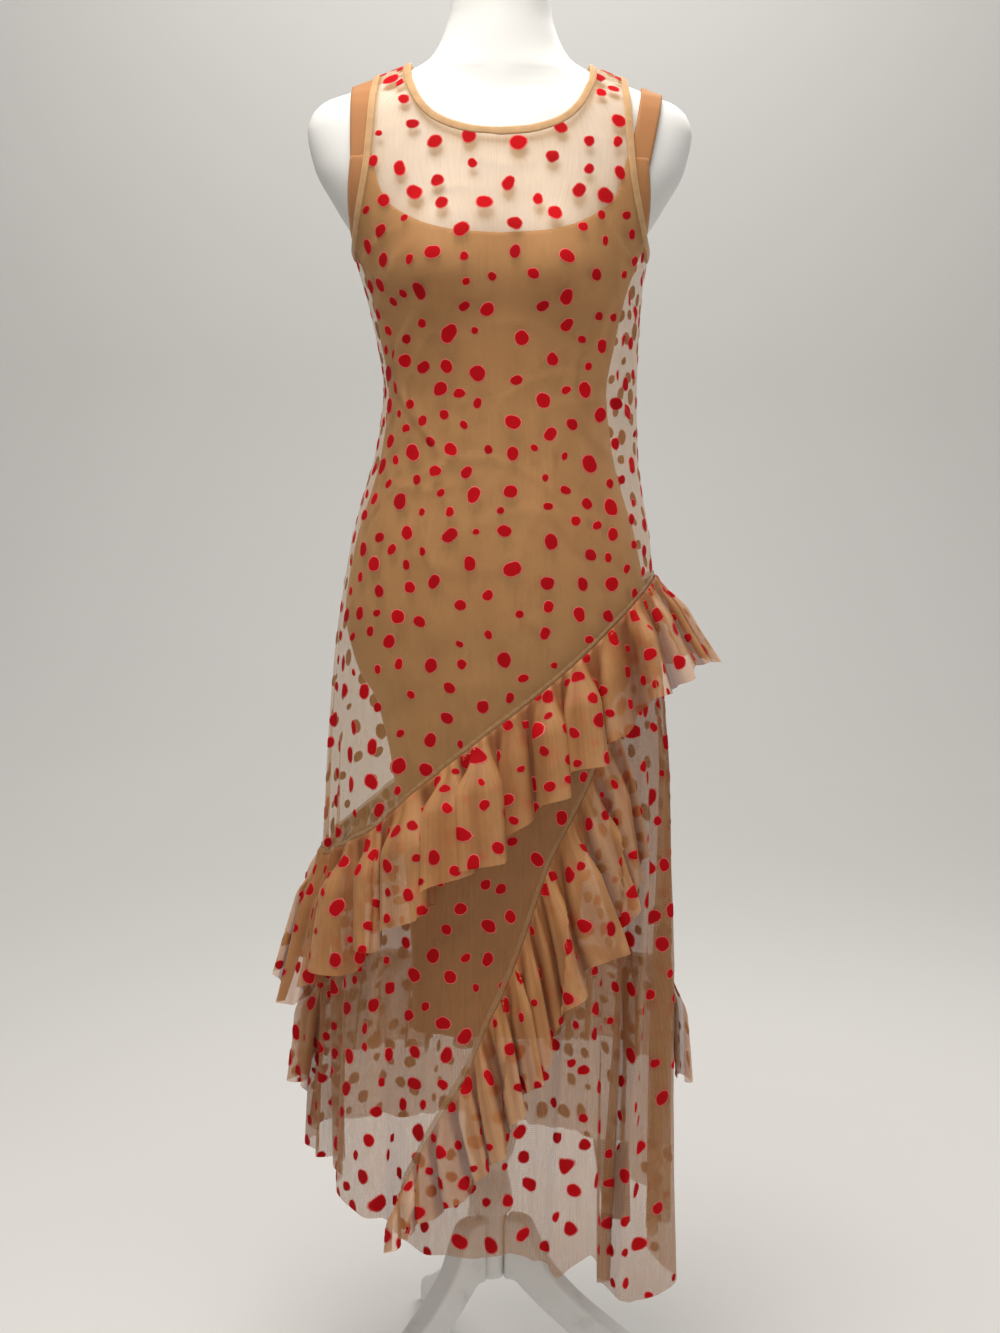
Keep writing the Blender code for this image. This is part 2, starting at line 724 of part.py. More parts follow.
def make_slip(parts, column):
    """The slip's front and back, from the straps to the hem, and its two straps over the shoulders."""
    sides = (("front", SLIP_ARM_FRONT, SLIP_NECK_FRONT), ("back", SLIP_ARM_BACK, SLIP_NECK_BACK))
    for facing, arm, neck in sides:
        low = SLIP.seam_angle(SLIP_HEM)
        bottom = [(angle, SLIP_HEM) for angle in np.linspace(-low, low, 19)]
        side = side_up(SLIP, SLIP_HEM, SLIP_UNDERARM, SLIP_STEP[1])
        top = edge_path(SLIP, arm, EDGE_STEP)[1:] + edge_path(SLIP, neck, EDGE_STEP)
        outline = both_sides(bottom, side + top)
        panel("slip_" + facing, SLIP, outline, facing, SLIP_CLEAR, SLIP_STEP, SLIP_TAN, parts, column)
    for name, (front_x, top_x, back_x) in STRAP_PATHS.items():
        lines = []
        for across in (-STRAP_WIDTH / 2, STRAP_WIDTH / 2):
            lines.append(strap_line(front_x + across, top_x + across, back_x + across))
        points = np.stack(lines)
        out = grid_out(points)
        wanted = points - np.array([0, 0, 1.2])
        flip = float((out * wanted).sum()) < 0
        lifted = points + out * (-1 if flip else 1) * (SLIP_CLEAR + 0.0004)
        strip(name, lifted, SLIP_TAN, parts, column, flip=flip)


def strap_line(front_x, top_x, back_x, count=17):
    """Points on the torso from the front, over the shoulder's ridge and down the back."""
    heights = np.linspace(CHEST, TORSO_TOP, 4000)
    widths = TORSO.columns[1](heights)
    above = heights > SHOULDER_WIDEST
    ridge = float(np.interp(abs(top_x), widths[above][::-1], heights[above][::-1]))
    line = []
    for share in np.linspace(0, 1, 40):
        ease = math.sin(share * math.pi / 2)
        z = STRAP_FRONT + (ridge - STRAP_FRONT) * ease
        x = front_x + (top_x - front_x) * ease
        line.append(torso_at(x, min(z, ridge - 1e-5), True))
    for share in np.linspace(1, 0, 40)[1:]:
        ease = math.sin(share * math.pi / 2)
        z = STRAP_BACK + (ridge - STRAP_BACK) * ease
        x = back_x + (top_x - back_x) * ease
        line.append(torso_at(x, min(z, ridge - 1e-5), False))
    return through(line, count)


def torso_at(x, z, front):
    angle = TORSO.angle_at(x, z)
    return TORSO.point(np.array(angle if front else math.pi - angle), np.array(z))


def make_bodice(parts, column):
    """The mesh dress above the upper seam, front and back."""
    for facing, arm, neck in (("front", ARM_FRONT, NECK_FRONT), ("back", ARM_BACK, NECK_BACK)):
        low = DRESS.seam_angle(UPPER_SEAM_MIDDLE)
        bottom = [(a, float(upper_seam(a)) + SEAM_GAP) for a in np.linspace(-low, low, 24)]
        side = side_up(DRESS, bottom[-1][1], UNDERARM, PANEL_STEP[1])
        arm_curve = edge_path(DRESS, arm, EDGE_STEP)[1:]
        shoulder = side_up(DRESS, SHOULDER_TIP, SHOULDER_NECK, EDGE_STEP)[1:]
        neck_curve = edge_path(DRESS, neck, EDGE_STEP)[1:]
        top = side[-1:] + arm_curve + shoulder + neck_curve
        other_side = side_up(DRESS, bottom[0][1], UNDERARM, PANEL_STEP[1])
        outline = bottom + side[1:-1] + top + mirrored(top[:-1])[::-1] + mirrored(other_side[1:-1])[::-1]
        panel("bodice_" + facing, DRESS, outline, facing, DRESS_CLEAR, PANEL_STEP, MESH_TAN, parts, column)


def make_skirt(parts, column):
    """The mesh skirt from the upper seam to the hem, front and back."""
    for facing in ("front", "back"):
        low, high = DRESS.seam_angle(0.25), DRESS.seam_angle(UPPER_SEAM_MIDDLE)
        turn = (lambda a: a) if facing == "front" else (lambda a: math.pi - a)
        bottom = [(a, float(hem(np.array(turn(a))))) for a in np.linspace(-low, low, 30)]
        top = [(a, float(upper_seam(a))) for a in np.linspace(high, -high, 24)]
        name = "skirt_" + facing
        panel(name, DRESS, bottom + top, facing, DRESS_CLEAR, SKIRT_STEP, MESH_TAN, parts, column)


def ruffle_points(angles, seam, drop, flare, wave, phase, seam_gap, lowered=0.0):
    """A grid of points hanging from a seam, rows from the free edge up to the seam."""
    rows = []
    for share in np.linspace(1, 0, RUFFLE_ROWS + 1):
        z = seam - lowered - drop * share
        inward = 1 - 0.6 * share
        out = DRESS_CLEAR + CLOTH + seam_gap + (RUFFLE_GAP - seam_gap) * min(1, share * RUFFLE_ROWS)
        out = out + flare * share + wave * share**0.8 * (1 + np.cos(phase))
        rows.append(DRESS.point(angles, z, inward) + DRESS.out(angles, z, inward) * out[:, None])
    return np.stack(rows[::-1])


def make_upper_ruffle(parts, column):
    """The ruffle all round the tilted upper seam, in a front and a back piece."""
    for facing in ("front", "back"):
        edge = DRESS.seam_angle(0.60)
        local = np.linspace(-edge, edge, UPPER_WAVES_PER_SIDE * COLUMNS_PER_WAVE + 1)
        angles = local if facing == "front" else math.pi - local
        phase = (local + math.pi / 2) * UPPER_WAVES_PER_SIDE * 2
        minus_x, plus_x = np.clip(-np.sin(angles), 0, 1), np.clip(np.sin(angles), 0, 1)
        drop = UPPER_DROP + UPPER_DROP_MINUS_X * minus_x**8 - UPPER_DROP_PLUS_X * plus_x
        drop = drop + UPPER_DROP_WAVE * np.cos(phase)
        flare = UPPER_FLARE + UPPER_FLARE_MINUS_X * minus_x**8 + UPPER_FLARE_PLUS_X * plus_x**8
        wave = UPPER_WAVE * (1 - 0.4 * (minus_x + plus_x) ** 8)
        points = ruffle_points(angles, upper_seam(angles), drop, flare, wave, phase, RUFFLE_SEAM, 0.0008)
        strip("ruffle_upper_" + facing, points, MESH_TAN, parts, column, flip=facing == "back")


def make_lower_ruffle(parts, column):
    """The steep ruffle on the skirt's front, and the level one on its back."""
    count = LOWER_WAVES * COLUMNS_PER_WAVE + 1
    rows = through([(math.radians(a) * BODY_RADIUS, z) for a, z in LOWER_SEAM], count)[::-1]
    angles, seam = rows[:, 0] / BODY_RADIUS, rows[:, 1]
    share = np.linspace(1, 0, count)
    phase = share * LOWER_WAVES * 2 * math.pi
    drop = LOWER_DROP - (LOWER_DROP - LOWER_DROP_END) * np.clip((share - 0.75) / 0.25, 0, 1)
    flare, wave = np.full(count, LOWER_FLARE), np.full(count, LOWER_WAVE)
    points = ruffle_points(angles, seam, drop, flare, wave, phase, RUFFLE_SEAM)
    strip("ruffle_lower_front", points, MESH_TAN, parts, column)

    edge = DRESS.seam_angle(0.40)
    local = np.linspace(-edge, edge, BACK_WAVES * COLUMNS_PER_WAVE + 1)
    angles = math.pi - local
    seam = BACK_SEAM_RIGHT + (BACK_SEAM_LEFT - BACK_SEAM_RIGHT) * (local / edge + 1) / 2
    seam = seam - BACK_SEAM_DIP * np.cos(local) ** 2
    phase = (local + math.pi / 2) * BACK_WAVES * 2
    flare, wave = np.full(len(local), BACK_FLARE), np.full(len(local), BACK_WAVE)
    drop = np.full(len(local), BACK_DROP)
    points = ruffle_points(angles, seam, drop, flare, wave, phase, RUFFLE_GAP)
    strip("ruffle_lower_back", points, MESH_TAN, parts, column, flip=True)


def binding(name, rows, hole, parts, column):
    """A closed binding that continues the front and back panels' edges into an opening.

    The rows are angles and heights along the panels' edges, and hole is a point in the opening.
    """
    rows = np.array(rows)
    points, out = DRESS.point(rows[:, 0], rows[:, 1]), DRESS.out(rows[:, 0], rows[:, 1])
    edge = points + out * DRESS_CLEAR
    ahead = np.roll(edge, -1, axis=0) - np.roll(edge, 1, axis=0)
    across = np.cross(ahead, out)
    across = across / np.linalg.norm(across, axis=1, keepdims=True)
    if ((np.array(hole) - edge) * across).sum() < 0:
        across = -across
    lines = [edge + across * SEAM_GAP, edge + across * (SEAM_GAP + BINDING_WIDTH)]
    grid = np.stack(lines)
    flip = float((grid_out(grid, True) * out[None]).sum()) < 0
    strip(name, grid, BINDING_TAN, parts, column, closed=True, flip=flip)


def make_bindings(parts, column):
    """The bindings round the neck and the two armholes, from the same points as the panels' edges."""
    front, back = edge_path(DRESS, NECK_FRONT, EDGE_STEP), edge_path(DRESS, NECK_BACK, EDGE_STEP)
    front_half = front[::-1] + to_back(back[1:])
    whole = front_half + mirrored(front_half[1:-1])[::-1]
    binding("binding_neck", whole, (0, 0, SHOULDER_NECK), parts, column)
    front, back = edge_path(DRESS, ARM_FRONT, EDGE_STEP), edge_path(DRESS, ARM_BACK, EDGE_STEP)
    whole = front + to_back(back[1:-1])[::-1]
    middle = (0.16, 0, (UNDERARM + SHOULDER_TIP) / 2)
    binding("binding_arm_plus_x", whole, middle, parts, column)
    middle = (-middle[0], *middle[1:])
    binding("binding_arm_minus_x", mirrored(whole), middle, parts, column)


def make_label(parts, column):
    """The blank care label, from the skirt's wall inwards."""
    angle, turn = math.radians(LABEL_ANGLE), math.radians(LABEL_TURN)
    inwards = np.array([-math.cos(turn), math.sin(turn), 0])
    across = np.array([math.sin(turn), math.cos(turn), 0])
    rows = []
    for z in np.linspace(LABEL_TOP, LABEL_BOTTOM, 4):
        seam = DRESS.point(angle, z) + DRESS.out(angle, z) * (DRESS_CLEAR - LABEL_SEAT)
        share = np.linspace(0, 1, 4)[:, None]
        rows.append(seam + share * LABEL_WIDTH * inwards + LABEL_BOW * np.sin(share * math.pi / 2) * across)
    strip("care_label", np.stack(rows), LABEL_WHITE, parts, column, flip=True)


def main():
    for old in list(bpy.data.objects):
        bpy.data.objects.remove(old)
    parts = bpy.data.collections.new("polka dot dress on dress form")
    bpy.context.scene.collection.children.link(parts)
    column = bpy.data.objects.new("column_axis", None)
    column.location = (COLUMN_X, COLUMN_Y, 0)
    parts.objects.link(column)
    make_torso(parts, column)
    make_stand(parts, column)
    make_slip(parts, column)
    make_bodice(parts, column)
    make_skirt(parts, column)
    make_upper_ruffle(parts, column)
    make_lower_ruffle(parts, column)
    make_bindings(parts, column)
    make_label(parts, column)


main()
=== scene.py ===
"""The polka dot mesh dress and its slip on a white dress form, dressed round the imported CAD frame.

Units are metres, +Z is up and the dress faces -Y. An angle round the body is 0 at the front, 90
degrees at +X, which is the wearer's left, and 180 degrees at the back. Shapes are worked out from
the column's axis, as in the part's source, and moved to the frame's origin as they are made.
"""

import math

import bmesh
import bpy
import numpy as np
from mathutils import Matrix, Vector
from mathutils.geometry import delaunay_2d_cdt


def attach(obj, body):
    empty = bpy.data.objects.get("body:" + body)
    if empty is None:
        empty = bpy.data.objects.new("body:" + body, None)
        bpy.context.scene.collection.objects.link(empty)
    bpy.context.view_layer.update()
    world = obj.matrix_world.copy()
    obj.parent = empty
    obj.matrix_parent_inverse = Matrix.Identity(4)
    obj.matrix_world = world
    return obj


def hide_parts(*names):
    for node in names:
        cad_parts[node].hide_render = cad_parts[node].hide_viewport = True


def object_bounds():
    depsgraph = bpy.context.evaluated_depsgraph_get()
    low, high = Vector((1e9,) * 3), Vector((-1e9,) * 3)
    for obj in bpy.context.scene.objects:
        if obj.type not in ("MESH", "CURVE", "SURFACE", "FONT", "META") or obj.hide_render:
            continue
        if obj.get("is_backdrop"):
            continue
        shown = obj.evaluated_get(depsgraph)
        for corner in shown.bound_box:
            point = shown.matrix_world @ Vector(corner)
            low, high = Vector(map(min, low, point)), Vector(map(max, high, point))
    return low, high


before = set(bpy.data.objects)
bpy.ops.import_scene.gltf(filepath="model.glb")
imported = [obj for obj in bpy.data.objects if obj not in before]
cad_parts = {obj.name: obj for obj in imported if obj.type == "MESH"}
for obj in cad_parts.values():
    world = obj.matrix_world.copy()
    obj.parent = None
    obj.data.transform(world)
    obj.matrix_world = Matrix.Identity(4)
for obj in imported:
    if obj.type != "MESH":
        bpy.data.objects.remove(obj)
CAD_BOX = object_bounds()

# Where the stand's column and the form are, from the origin
COLUMN_X = -0.01915
COLUMN_Y = -0.0302
COLUMN = np.array([COLUMN_X, COLUMN_Y, 0.0])

# The middle of each cloth wall of the frame, out from the body, and the thickness of the cloth
SLIP_OUT = 0.0033
SLIP_THICKNESS = 0.0010
STRAP_THICKNESS = 0.0012
LABEL_THICKNESS = 0.0004
DRESS_OUT = 0.0061
RUFFLE_OUT = 0.0080

# The torso: height, half width to -X and to +X, depth to the front and to the back, squareness
TORSO_SECTIONS = (
    (0.788, 0.127, 0.127, 0.089, 0.099, 2.2),
    (0.814, 0.141, 0.141, 0.099, 0.113, 2.2),
    (0.859, 0.150, 0.150, 0.106, 0.126, 2.2),
    (0.907, 0.144, 0.144, 0.104, 0.126, 2.2),
    (0.947, 0.136, 0.136, 0.101, 0.118, 2.2),
    (0.984, 0.125, 0.125, 0.096, 0.106, 2.2),
    (1.023, 0.115, 0.115, 0.090, 0.094, 2.2),
    (1.087, 0.108, 0.108, 0.084, 0.083, 2.2),
    (1.136, 0.116, 0.116, 0.089, 0.085, 2.2),
    (1.175, 0.124, 0.124, 0.093, 0.091, 2.2),
    (1.199, 0.131, 0.131, 0.095, 0.095, 2.3),
    (1.233, 0.144, 0.144, 0.094, 0.098, 2.3),
    (1.271, 0.167, 0.167, 0.087, 0.096, 2.3),
    (1.310, 0.188, 0.188, 0.076, 0.088, 2.2),
    (1.347, 0.195, 0.195, 0.065, 0.076, 2.0),
    (1.361, 0.191, 0.191, 0.061, 0.068, 1.9),
    (1.375, 0.178, 0.178, 0.057, 0.062, 1.7),
    (1.384, 0.154, 0.154, 0.055, 0.060, 1.6),
    (1.391, 0.136, 0.136, 0.054, 0.058, 1.6),
    (1.399, 0.112, 0.112, 0.053, 0.056, 1.7),
    (1.406, 0.092, 0.092, 0.052, 0.054, 1.9),
    (1.419, 0.071, 0.071, 0.050, 0.052, 2.0),
    (1.437, 0.060, 0.060, 0.048, 0.049, 2.0),
    (1.462, 0.052, 0.052, 0.046, 0.047, 2.0),
    (1.498, 0.049, 0.049, 0.045, 0.045, 2.0),
)
TORSO_BOTTOM = 0.788
TORSO_TOP = 1.498

# The bust: distance from the middle, height, spread sideways, up and down, and how far it stands out
BUST_X = 0.066
BUST_Z = 1.199
BUST_SPREAD = 0.046
BUST_ABOVE = 0.060
BUST_BELOW = 0.036
BUST_RISE = 0.020

SLIP_SECTIONS = (
    (0.428, 0.082, 0.082, 0.076, 0.082, 2.2),
    (0.491, 0.084, 0.084, 0.079, 0.086, 2.2),
    (0.584, 0.091, 0.091, 0.085, 0.089, 2.2),
    (0.676, 0.102, 0.102, 0.091, 0.093, 2.2),
    (0.727, 0.110, 0.110, 0.095, 0.097, 2.2),
    (0.773, 0.123, 0.123, 0.098, 0.102, 2.2),
    (0.814, 0.143, 0.143, 0.102, 0.115, 2.2),
    (0.859, 0.152, 0.152, 0.108, 0.128, 2.2),
    (0.907, 0.146, 0.146, 0.106, 0.128, 2.2),
    (0.947, 0.137, 0.137, 0.102, 0.119, 2.2),
)
SLIP_HEM = 0.428
DRESS_SECTIONS = (
    (0.152, 0.183, 0.172, 0.158, 0.172, 2.1),
    (0.269, 0.180, 0.171, 0.152, 0.167, 2.1),
    (0.449, 0.173, 0.173, 0.141, 0.158, 2.1),
    (0.594, 0.169, 0.175, 0.131, 0.149, 2.1),
    (0.687, 0.166, 0.174, 0.123, 0.144, 2.1),
    (0.753, 0.163, 0.170, 0.118, 0.139, 2.1),
    (0.816, 0.159, 0.165, 0.114, 0.135, 2.2),
    (0.859, 0.155, 0.161, 0.112, 0.131, 2.2),
    (0.907, 0.148, 0.156, 0.109, 0.127, 2.2),
    (0.947, 0.140, 0.151, 0.105, 0.120, 2.2),
    (0.984, 0.130, 0.144, 0.100, 0.110, 2.2),
    (1.023, 0.119, 0.139, 0.095, 0.098, 2.2),
    (1.087, 0.111, 0.137, 0.091, 0.090, 2.2),
    (1.136, 0.118, 0.138, 0.094, 0.090, 2.2),
    (1.175, 0.127, 0.140, 0.097, 0.094, 2.2),
    (1.199, 0.134, 0.142, 0.098, 0.098, 2.3),
    (1.233, 0.146, 0.149, 0.097, 0.101, 2.3),
)

# The mesh skirt's folds: angle, outward at the hem, half width in degrees
SKIRT_FOLDS = (
    (-150, -0.013, 9),
    (-118, 0.021, 15),
    (-73, -0.030, 11),
    (-52, 0.012, 9),
    (-31, -0.010, 8),
    (-8, 0.007, 9),
    (13, -0.010, 8),
    (31, 0.010, 8),
    (45, -0.020, 7),
    (61, 0.017, 8),
    (79, -0.012, 7),
    (96, 0.012, 8),
    (119, -0.014, 8),
    (141, 0.013, 9),
    (163, -0.014, 8),
    (186, 0.012, 9),
)
SKIRT_FOLDS_RANGE = (0.87, 0.24, 1.4)

# The slip's folds below the form, in the same columns
SLIP_FOLDS = (
    (-158, -0.011, 11),
    (-122, 0.009, 12),
    (-86, -0.015, 12),
    (-52, 0.009, 11),
    (-4, -0.007, 16),
    (38, 0.009, 12),
    (72, -0.014, 12),
    (112, 0.009, 12),
    (150, -0.011, 12),
)
SLIP_FOLDS_RANGE = (0.778, 0.44, 1.1)

# Finer folds of the mesh skirt: angle, outward at the hem, half width, height where it starts
FINE_FOLDS = (
    (-98, 0.0128, 3.0, 0.84),
    (-84, 0.0128, 2.8, 0.88),
    (-66, 0.0112, 2.5, 0.86),
    (-60, -0.0064, 2.5, 0.80),
    (-47, 0.0100, 2.0, 0.66),
    (-39, -0.0050, 3.0, 0.60),
    (-27, 0.0050, 2.0, 0.52),
    (-18, 0.0050, 2.6, 0.58),
    (-5, -0.0037, 3.0, 0.50),
    (3, 0.0050, 2.2, 0.52),
    (16, 0.0050, 2.0, 0.56),
    (23, 0.0063, 2.0, 0.66),
    (30, 0.0088, 1.8, 0.74),
    (37, -0.0063, 2.2, 0.78),
    (42, 0.0123, 2.1, 0.84),
    (48, -0.0088, 2.1, 0.84),
    (54, 0.0158, 2.3, 0.88),
    (60, -0.0105, 2.1, 0.86),
    (66, 0.0158, 2.2, 0.90),
    (72, -0.0088, 2.1, 0.86),
    (78, 0.0140, 2.3, 0.88),
    (88, 0.0100, 2.2, 0.84),
    (108, 0.0100, 2.6, 0.84),
    (128, 0.0088, 2.6, 0.80),
    (139, -0.0063, 2.6, 0.70),
    (152, 0.0100, 2.6, 0.82),
    (172, 0.0088, 2.4, 0.78),
    (184, -0.0063, 2.6, 0.66),
    (196, 0.0100, 2.6, 0.82),
    (209, -0.0050, 2.6, 0.66),
    (222, 0.0100, 2.4, 0.80),
    (247, 0.0088, 2.6, 0.82),
)

# Where a fold's crest hangs sideways over its valley: angle, turn in degrees at the hem, half width
FOLD_TURNS = (
    (-46, 13.0, 9),
    (-92, 5.0, 7),
    (27, -5.0, 5),
    (57, -6.0, 4.5),
    (70, 5.0, 4.5),
    (-118, 6.0, 9),
    (-8, 3.0, 5),
    (96, -5.0, 6),
    (141, 6.0, 7),
    (186, -6.0, 7),
)

# The skirt's hem: angle, height
HEM = (
    (-180, 0.254),
    (-120, 0.278),
    (-80, 0.284),
    (-58, 0.278),
    (-46, 0.264),
    (-32, 0.240),
    (-10, 0.234),
    (20, 0.222),
    (26, 0.214),
    (31, 0.232),
    (37, 0.194),
    (46, 0.176),
    (58, 0.168),
    (66, 0.175),
    (73, 0.200),
    (84, 0.206),
    (105, 0.215),
    (140, 0.245),
    (180, 0.254),
)

# The upper seam is a tilted ring, high at the wearer's left hip
UPPER_SEAM_MIDDLE = 0.753
UPPER_SEAM_TILT = 0.147

# The lower ruffle's seam on the front: angle, height
LOWER_SEAM = (
    (42, 0.752),
    (35, 0.722),
    (26, 0.666),
    (18, 0.622),
    (13, 0.580),
    (7, 0.528),
    (1, 0.480),
    (-7, 0.424),
    (-14, 0.372),
    (-23, 0.316),
    (-30, 0.272),
)
BACK_SEAM_LEFT = 0.482
BACK_SEAM_RIGHT = 0.470
BACK_SEAM_DIP = 0.020
SEAM_WIDTH = 0.0042
GATHERING = 1.4
NECK_BINDING = 0.0068
ARM_BINDING = 0.0066

# The neck, armholes and slip's top edge: distance from the middle, height
NECK_FRONT = (
    (0.0935, 1.4055),
    (0.0930, 1.3910),
    (0.0875, 1.3740),
    (0.0795, 1.3605),
    (0.0665, 1.3475),
    (0.0490, 1.3385),
    (0.0260, 1.3325),
    (0.0, 1.3305),
)
NECK_BACK = ((0.0935, 1.4055), (0.0800, 1.3960), (0.0560, 1.3885), (0.0280, 1.3845), (0.0, 1.3835))
ARM_FRONT = (
    (0.1460, 1.2200),
    (0.1395, 1.2360),
    (0.1330, 1.2620),
    (0.1275, 1.2950),
    (0.1245, 1.3300),
    (0.1225, 1.3650),
    (0.1190, 1.3965),
)
ARM_BACK = (
    (0.1460, 1.2200),
    (0.1430, 1.2430),
    (0.1400, 1.2800),
    (0.1350, 1.3190),
    (0.1275, 1.3600),
    (0.1190, 1.3965),
)
UNDERARM = 1.220
SHOULDER_TIP = 1.3965
SHOULDER_NECK = 1.4055
SLIP_NECK_FRONT = (
    (0.125, 1.313),
    (0.118, 1.286),
    (0.107, 1.265),
    (0.088, 1.251),
    (0.069, 1.241),
    (0.044, 1.235),
    (0.0, 1.2335),
)
SLIP_NECK_BACK = (
    (0.125, 1.300),
    (0.118, 1.281),
    (0.103, 1.264),
    (0.079, 1.252),
    (0.044, 1.2455),
    (0.0, 1.2435),
)
SLIP_ARM_FRONT = ((0.1443, 1.231), (0.1463, 1.247), (0.1480, 1.276), (0.1460, 1.313))
SLIP_ARM_BACK = ((0.1443, 1.231), (0.1473, 1.247), (0.1481, 1.272), (0.1460, 1.300))
SLIP_UNDERARM = 1.231

# The slip's straps: distance from the middle at the front, on the shoulder and at the back
STRAP_PATHS = {"minus_x": (-0.1355, -0.1375, -0.1355), "plus_x": (0.1355, 0.1520, 0.1355)}
STRAP_WIDTH = 0.0205
STRAP_FRONT = 1.3135
STRAP_BACK = 1.3005
STRAP_TUCK = 0.016
STRAP_THREAD_LENGTH = 0.20
STRAP_SINK = 0.0014
SHOULDER_WIDEST = 1.347

# The care label inside the skirt: where it is sewn, round the body, and how far it turns inwards
LABEL_ANGLE = 54
LABEL_TURN = 13
LABEL_LEAN = 3
LABEL_SEAT = 0.0070
LABEL_BOW = 0.0120
LABEL_SLANT = 0.010
LABEL_DROOP = 0.007
LABEL_WIDTH = 0.036
LABEL_TOP = 0.333
LABEL_BOTTOM = 0.245

# The stand: the column's profile from the top, as radius and height
COLUMN_PROFILE = (
    (0.0125, 0.5010),
    (0.0190, 0.4970),
    (0.0210, 0.4865),
    (0.0190, 0.4760),
    (0.0155, 0.4720),
    (0.0165, 0.4440),
    (0.0195, 0.4020),
    (0.0235, 0.3650),
    (0.0268, 0.3310),
    (0.0278, 0.3070),
    (0.0253, 0.2855),
    (0.0196, 0.2715),
    (0.0170, 0.2650),
    (0.0176, 0.2590),
    (0.0212, 0.2440),
    (0.0233, 0.2270),
    (0.0233, 0.2205),
    (0.0212, 0.2160),
    (0.0176, 0.2130),
    (0.0176, 0.1490),
    (0.0155, 0.1440),
    (0.0104, 0.1413),
)
POLE_RADIUS = 0.0120
FLANGE_RADIUS = 0.0450
FLANGE_THICKNESS = 0.0060
POLE_FOOT = 0.5015
SEAM_GAP = 0.0004
HUB_RADIUS = 0.0176

# A leg's outline in its own plane: distance from the column, height
LEG_UPPER = (
    (0.0310, 0.2115),
    (0.0415, 0.2075),
    (0.0500, 0.1925),
    (0.0630, 0.1655),
    (0.0845, 0.1420),
    (0.1075, 0.1225),
    (0.1360, 0.1025),
    (0.1650, 0.0825),
    (0.1950, 0.0640),
    (0.2230, 0.0480),
    (0.2480, 0.0360),
    (0.2600, 0.0280),
)
LEG_LOWER = (
    (0.2660, 0.0170),
    (0.2660, 0.0000),
    (0.2210, 0.0000),
    (0.2020, 0.0115),
    (0.1780, 0.0280),
    (0.1420, 0.0530),
    (0.1045, 0.0810),
    (0.0765, 0.1030),
    (0.0575, 0.1180),
    (0.0385, 0.1355),
    (0.0280, 0.1440),
)
LEG_WIDTH = 0.0270
LEG_BEVEL = 0.0042
LEG_EDGE = math.radians(50)
SHARP = math.radians(42)
LEG_ANGLES = {"leg_front": -44, "leg_side": 76, "leg_back": 196}

# The form's lower edge shows through the slip as a ridge over a valley: height, half width of each
FORM_EDGE_RIDGE = (0.794, 0.009)
FORM_EDGE_VALLEY = (0.768, 0.014)
FORM_EDGE_RELIEF = 0.0014

# How finely the form, the skirt and the cloth panels are cut
FORM_RINGS, FORM_AROUND = 190, 176
SKIRT_AROUND, SKIRT_ROWS = 600, 110
SKIRT_RADIUS = 0.165
SKIRT_LENGTH = 0.5
PANEL_STEP = 0.0068
SLIP_STEP = 0.0042
BODICE_STEP = 0.0036
EDGE_STEP = 0.0050
BODY_RADIUS = 0.140
CHEST = 1.233

# The flocked dots: how many on a square metre, their size and how far they stand proud
DOTS_PER_SQUARE_METRE = 880
SKIRT_DOTS_PER_SQUARE_METRE = 1020
DOT_RADII = (0.0034, 0.0094)
DOT_GAP = 0.0105
DOT_RISE = 0.00035
DOT_LIFT = 0.00012
DOT_SIDES = 14

# The rings of a dot: share of its radius, share of its rise
DOT_RINGS = ((0.0, 1.0), (0.3, 1.0), (0.6, 1.0), (0.86, 0.9), (0.97, 0.5), (1.07, 0.05))

# The length of the care label's flat cut
LABEL_LENGTH = 0.09


def smooth_reader(places, values):
    """A function that reads values between the given places, smoothly and with no overshoot."""
    steps = np.diff(places)
    rises = np.diff(values) / steps
    slopes = np.zeros(len(values))
    before, after = rises[:-1], rises[1:]
    same_way = before * after > 0
    total = np.where(same_way, before + after, 1.0)
    slopes[1:-1] = np.where(same_way, 2 * before * after / total, 0.0)
    slopes[0], slopes[-1] = rises[0], rises[-1]

    def read(at):
        at = np.clip(at, places[0], places[-1])
        i = np.clip(np.searchsorted(places, at) - 1, 0, len(steps) - 1)
        t = (at - places[i]) / steps[i]
        start = (1 + 2 * t) * (1 - t) ** 2 * values[i] + t * (1 - t) ** 2 * steps[i] * slopes[i]
        end = t * t * (3 - 2 * t) * values[i + 1] + t * t * (t - 1) * steps[i] * slopes[i + 1]
        return start + end

    return read


def wrapped(degrees):
    return (degrees + 180) % 360 - 180


def bump_at(away, half_width):
    return np.exp(-((away / half_width) ** 2))


def grown(z, start, full, growth):
    return np.clip((start - z) / (start - full), 0, 1.15) ** growth


def bust_rise(x, z):
    """How far the bust stands out to the front at a place on the chest."""
    spread_z = np.where(z > BUST_Z, BUST_ABOVE, BUST_BELOW)
    up = ((z - BUST_Z) / spread_z) ** 2
    each = [np.exp(-(((x - side * BUST_X) / BUST_SPREAD) ** 2) - up) for side in (-1, 1)]
    return BUST_RISE * (each[0] + each[1])


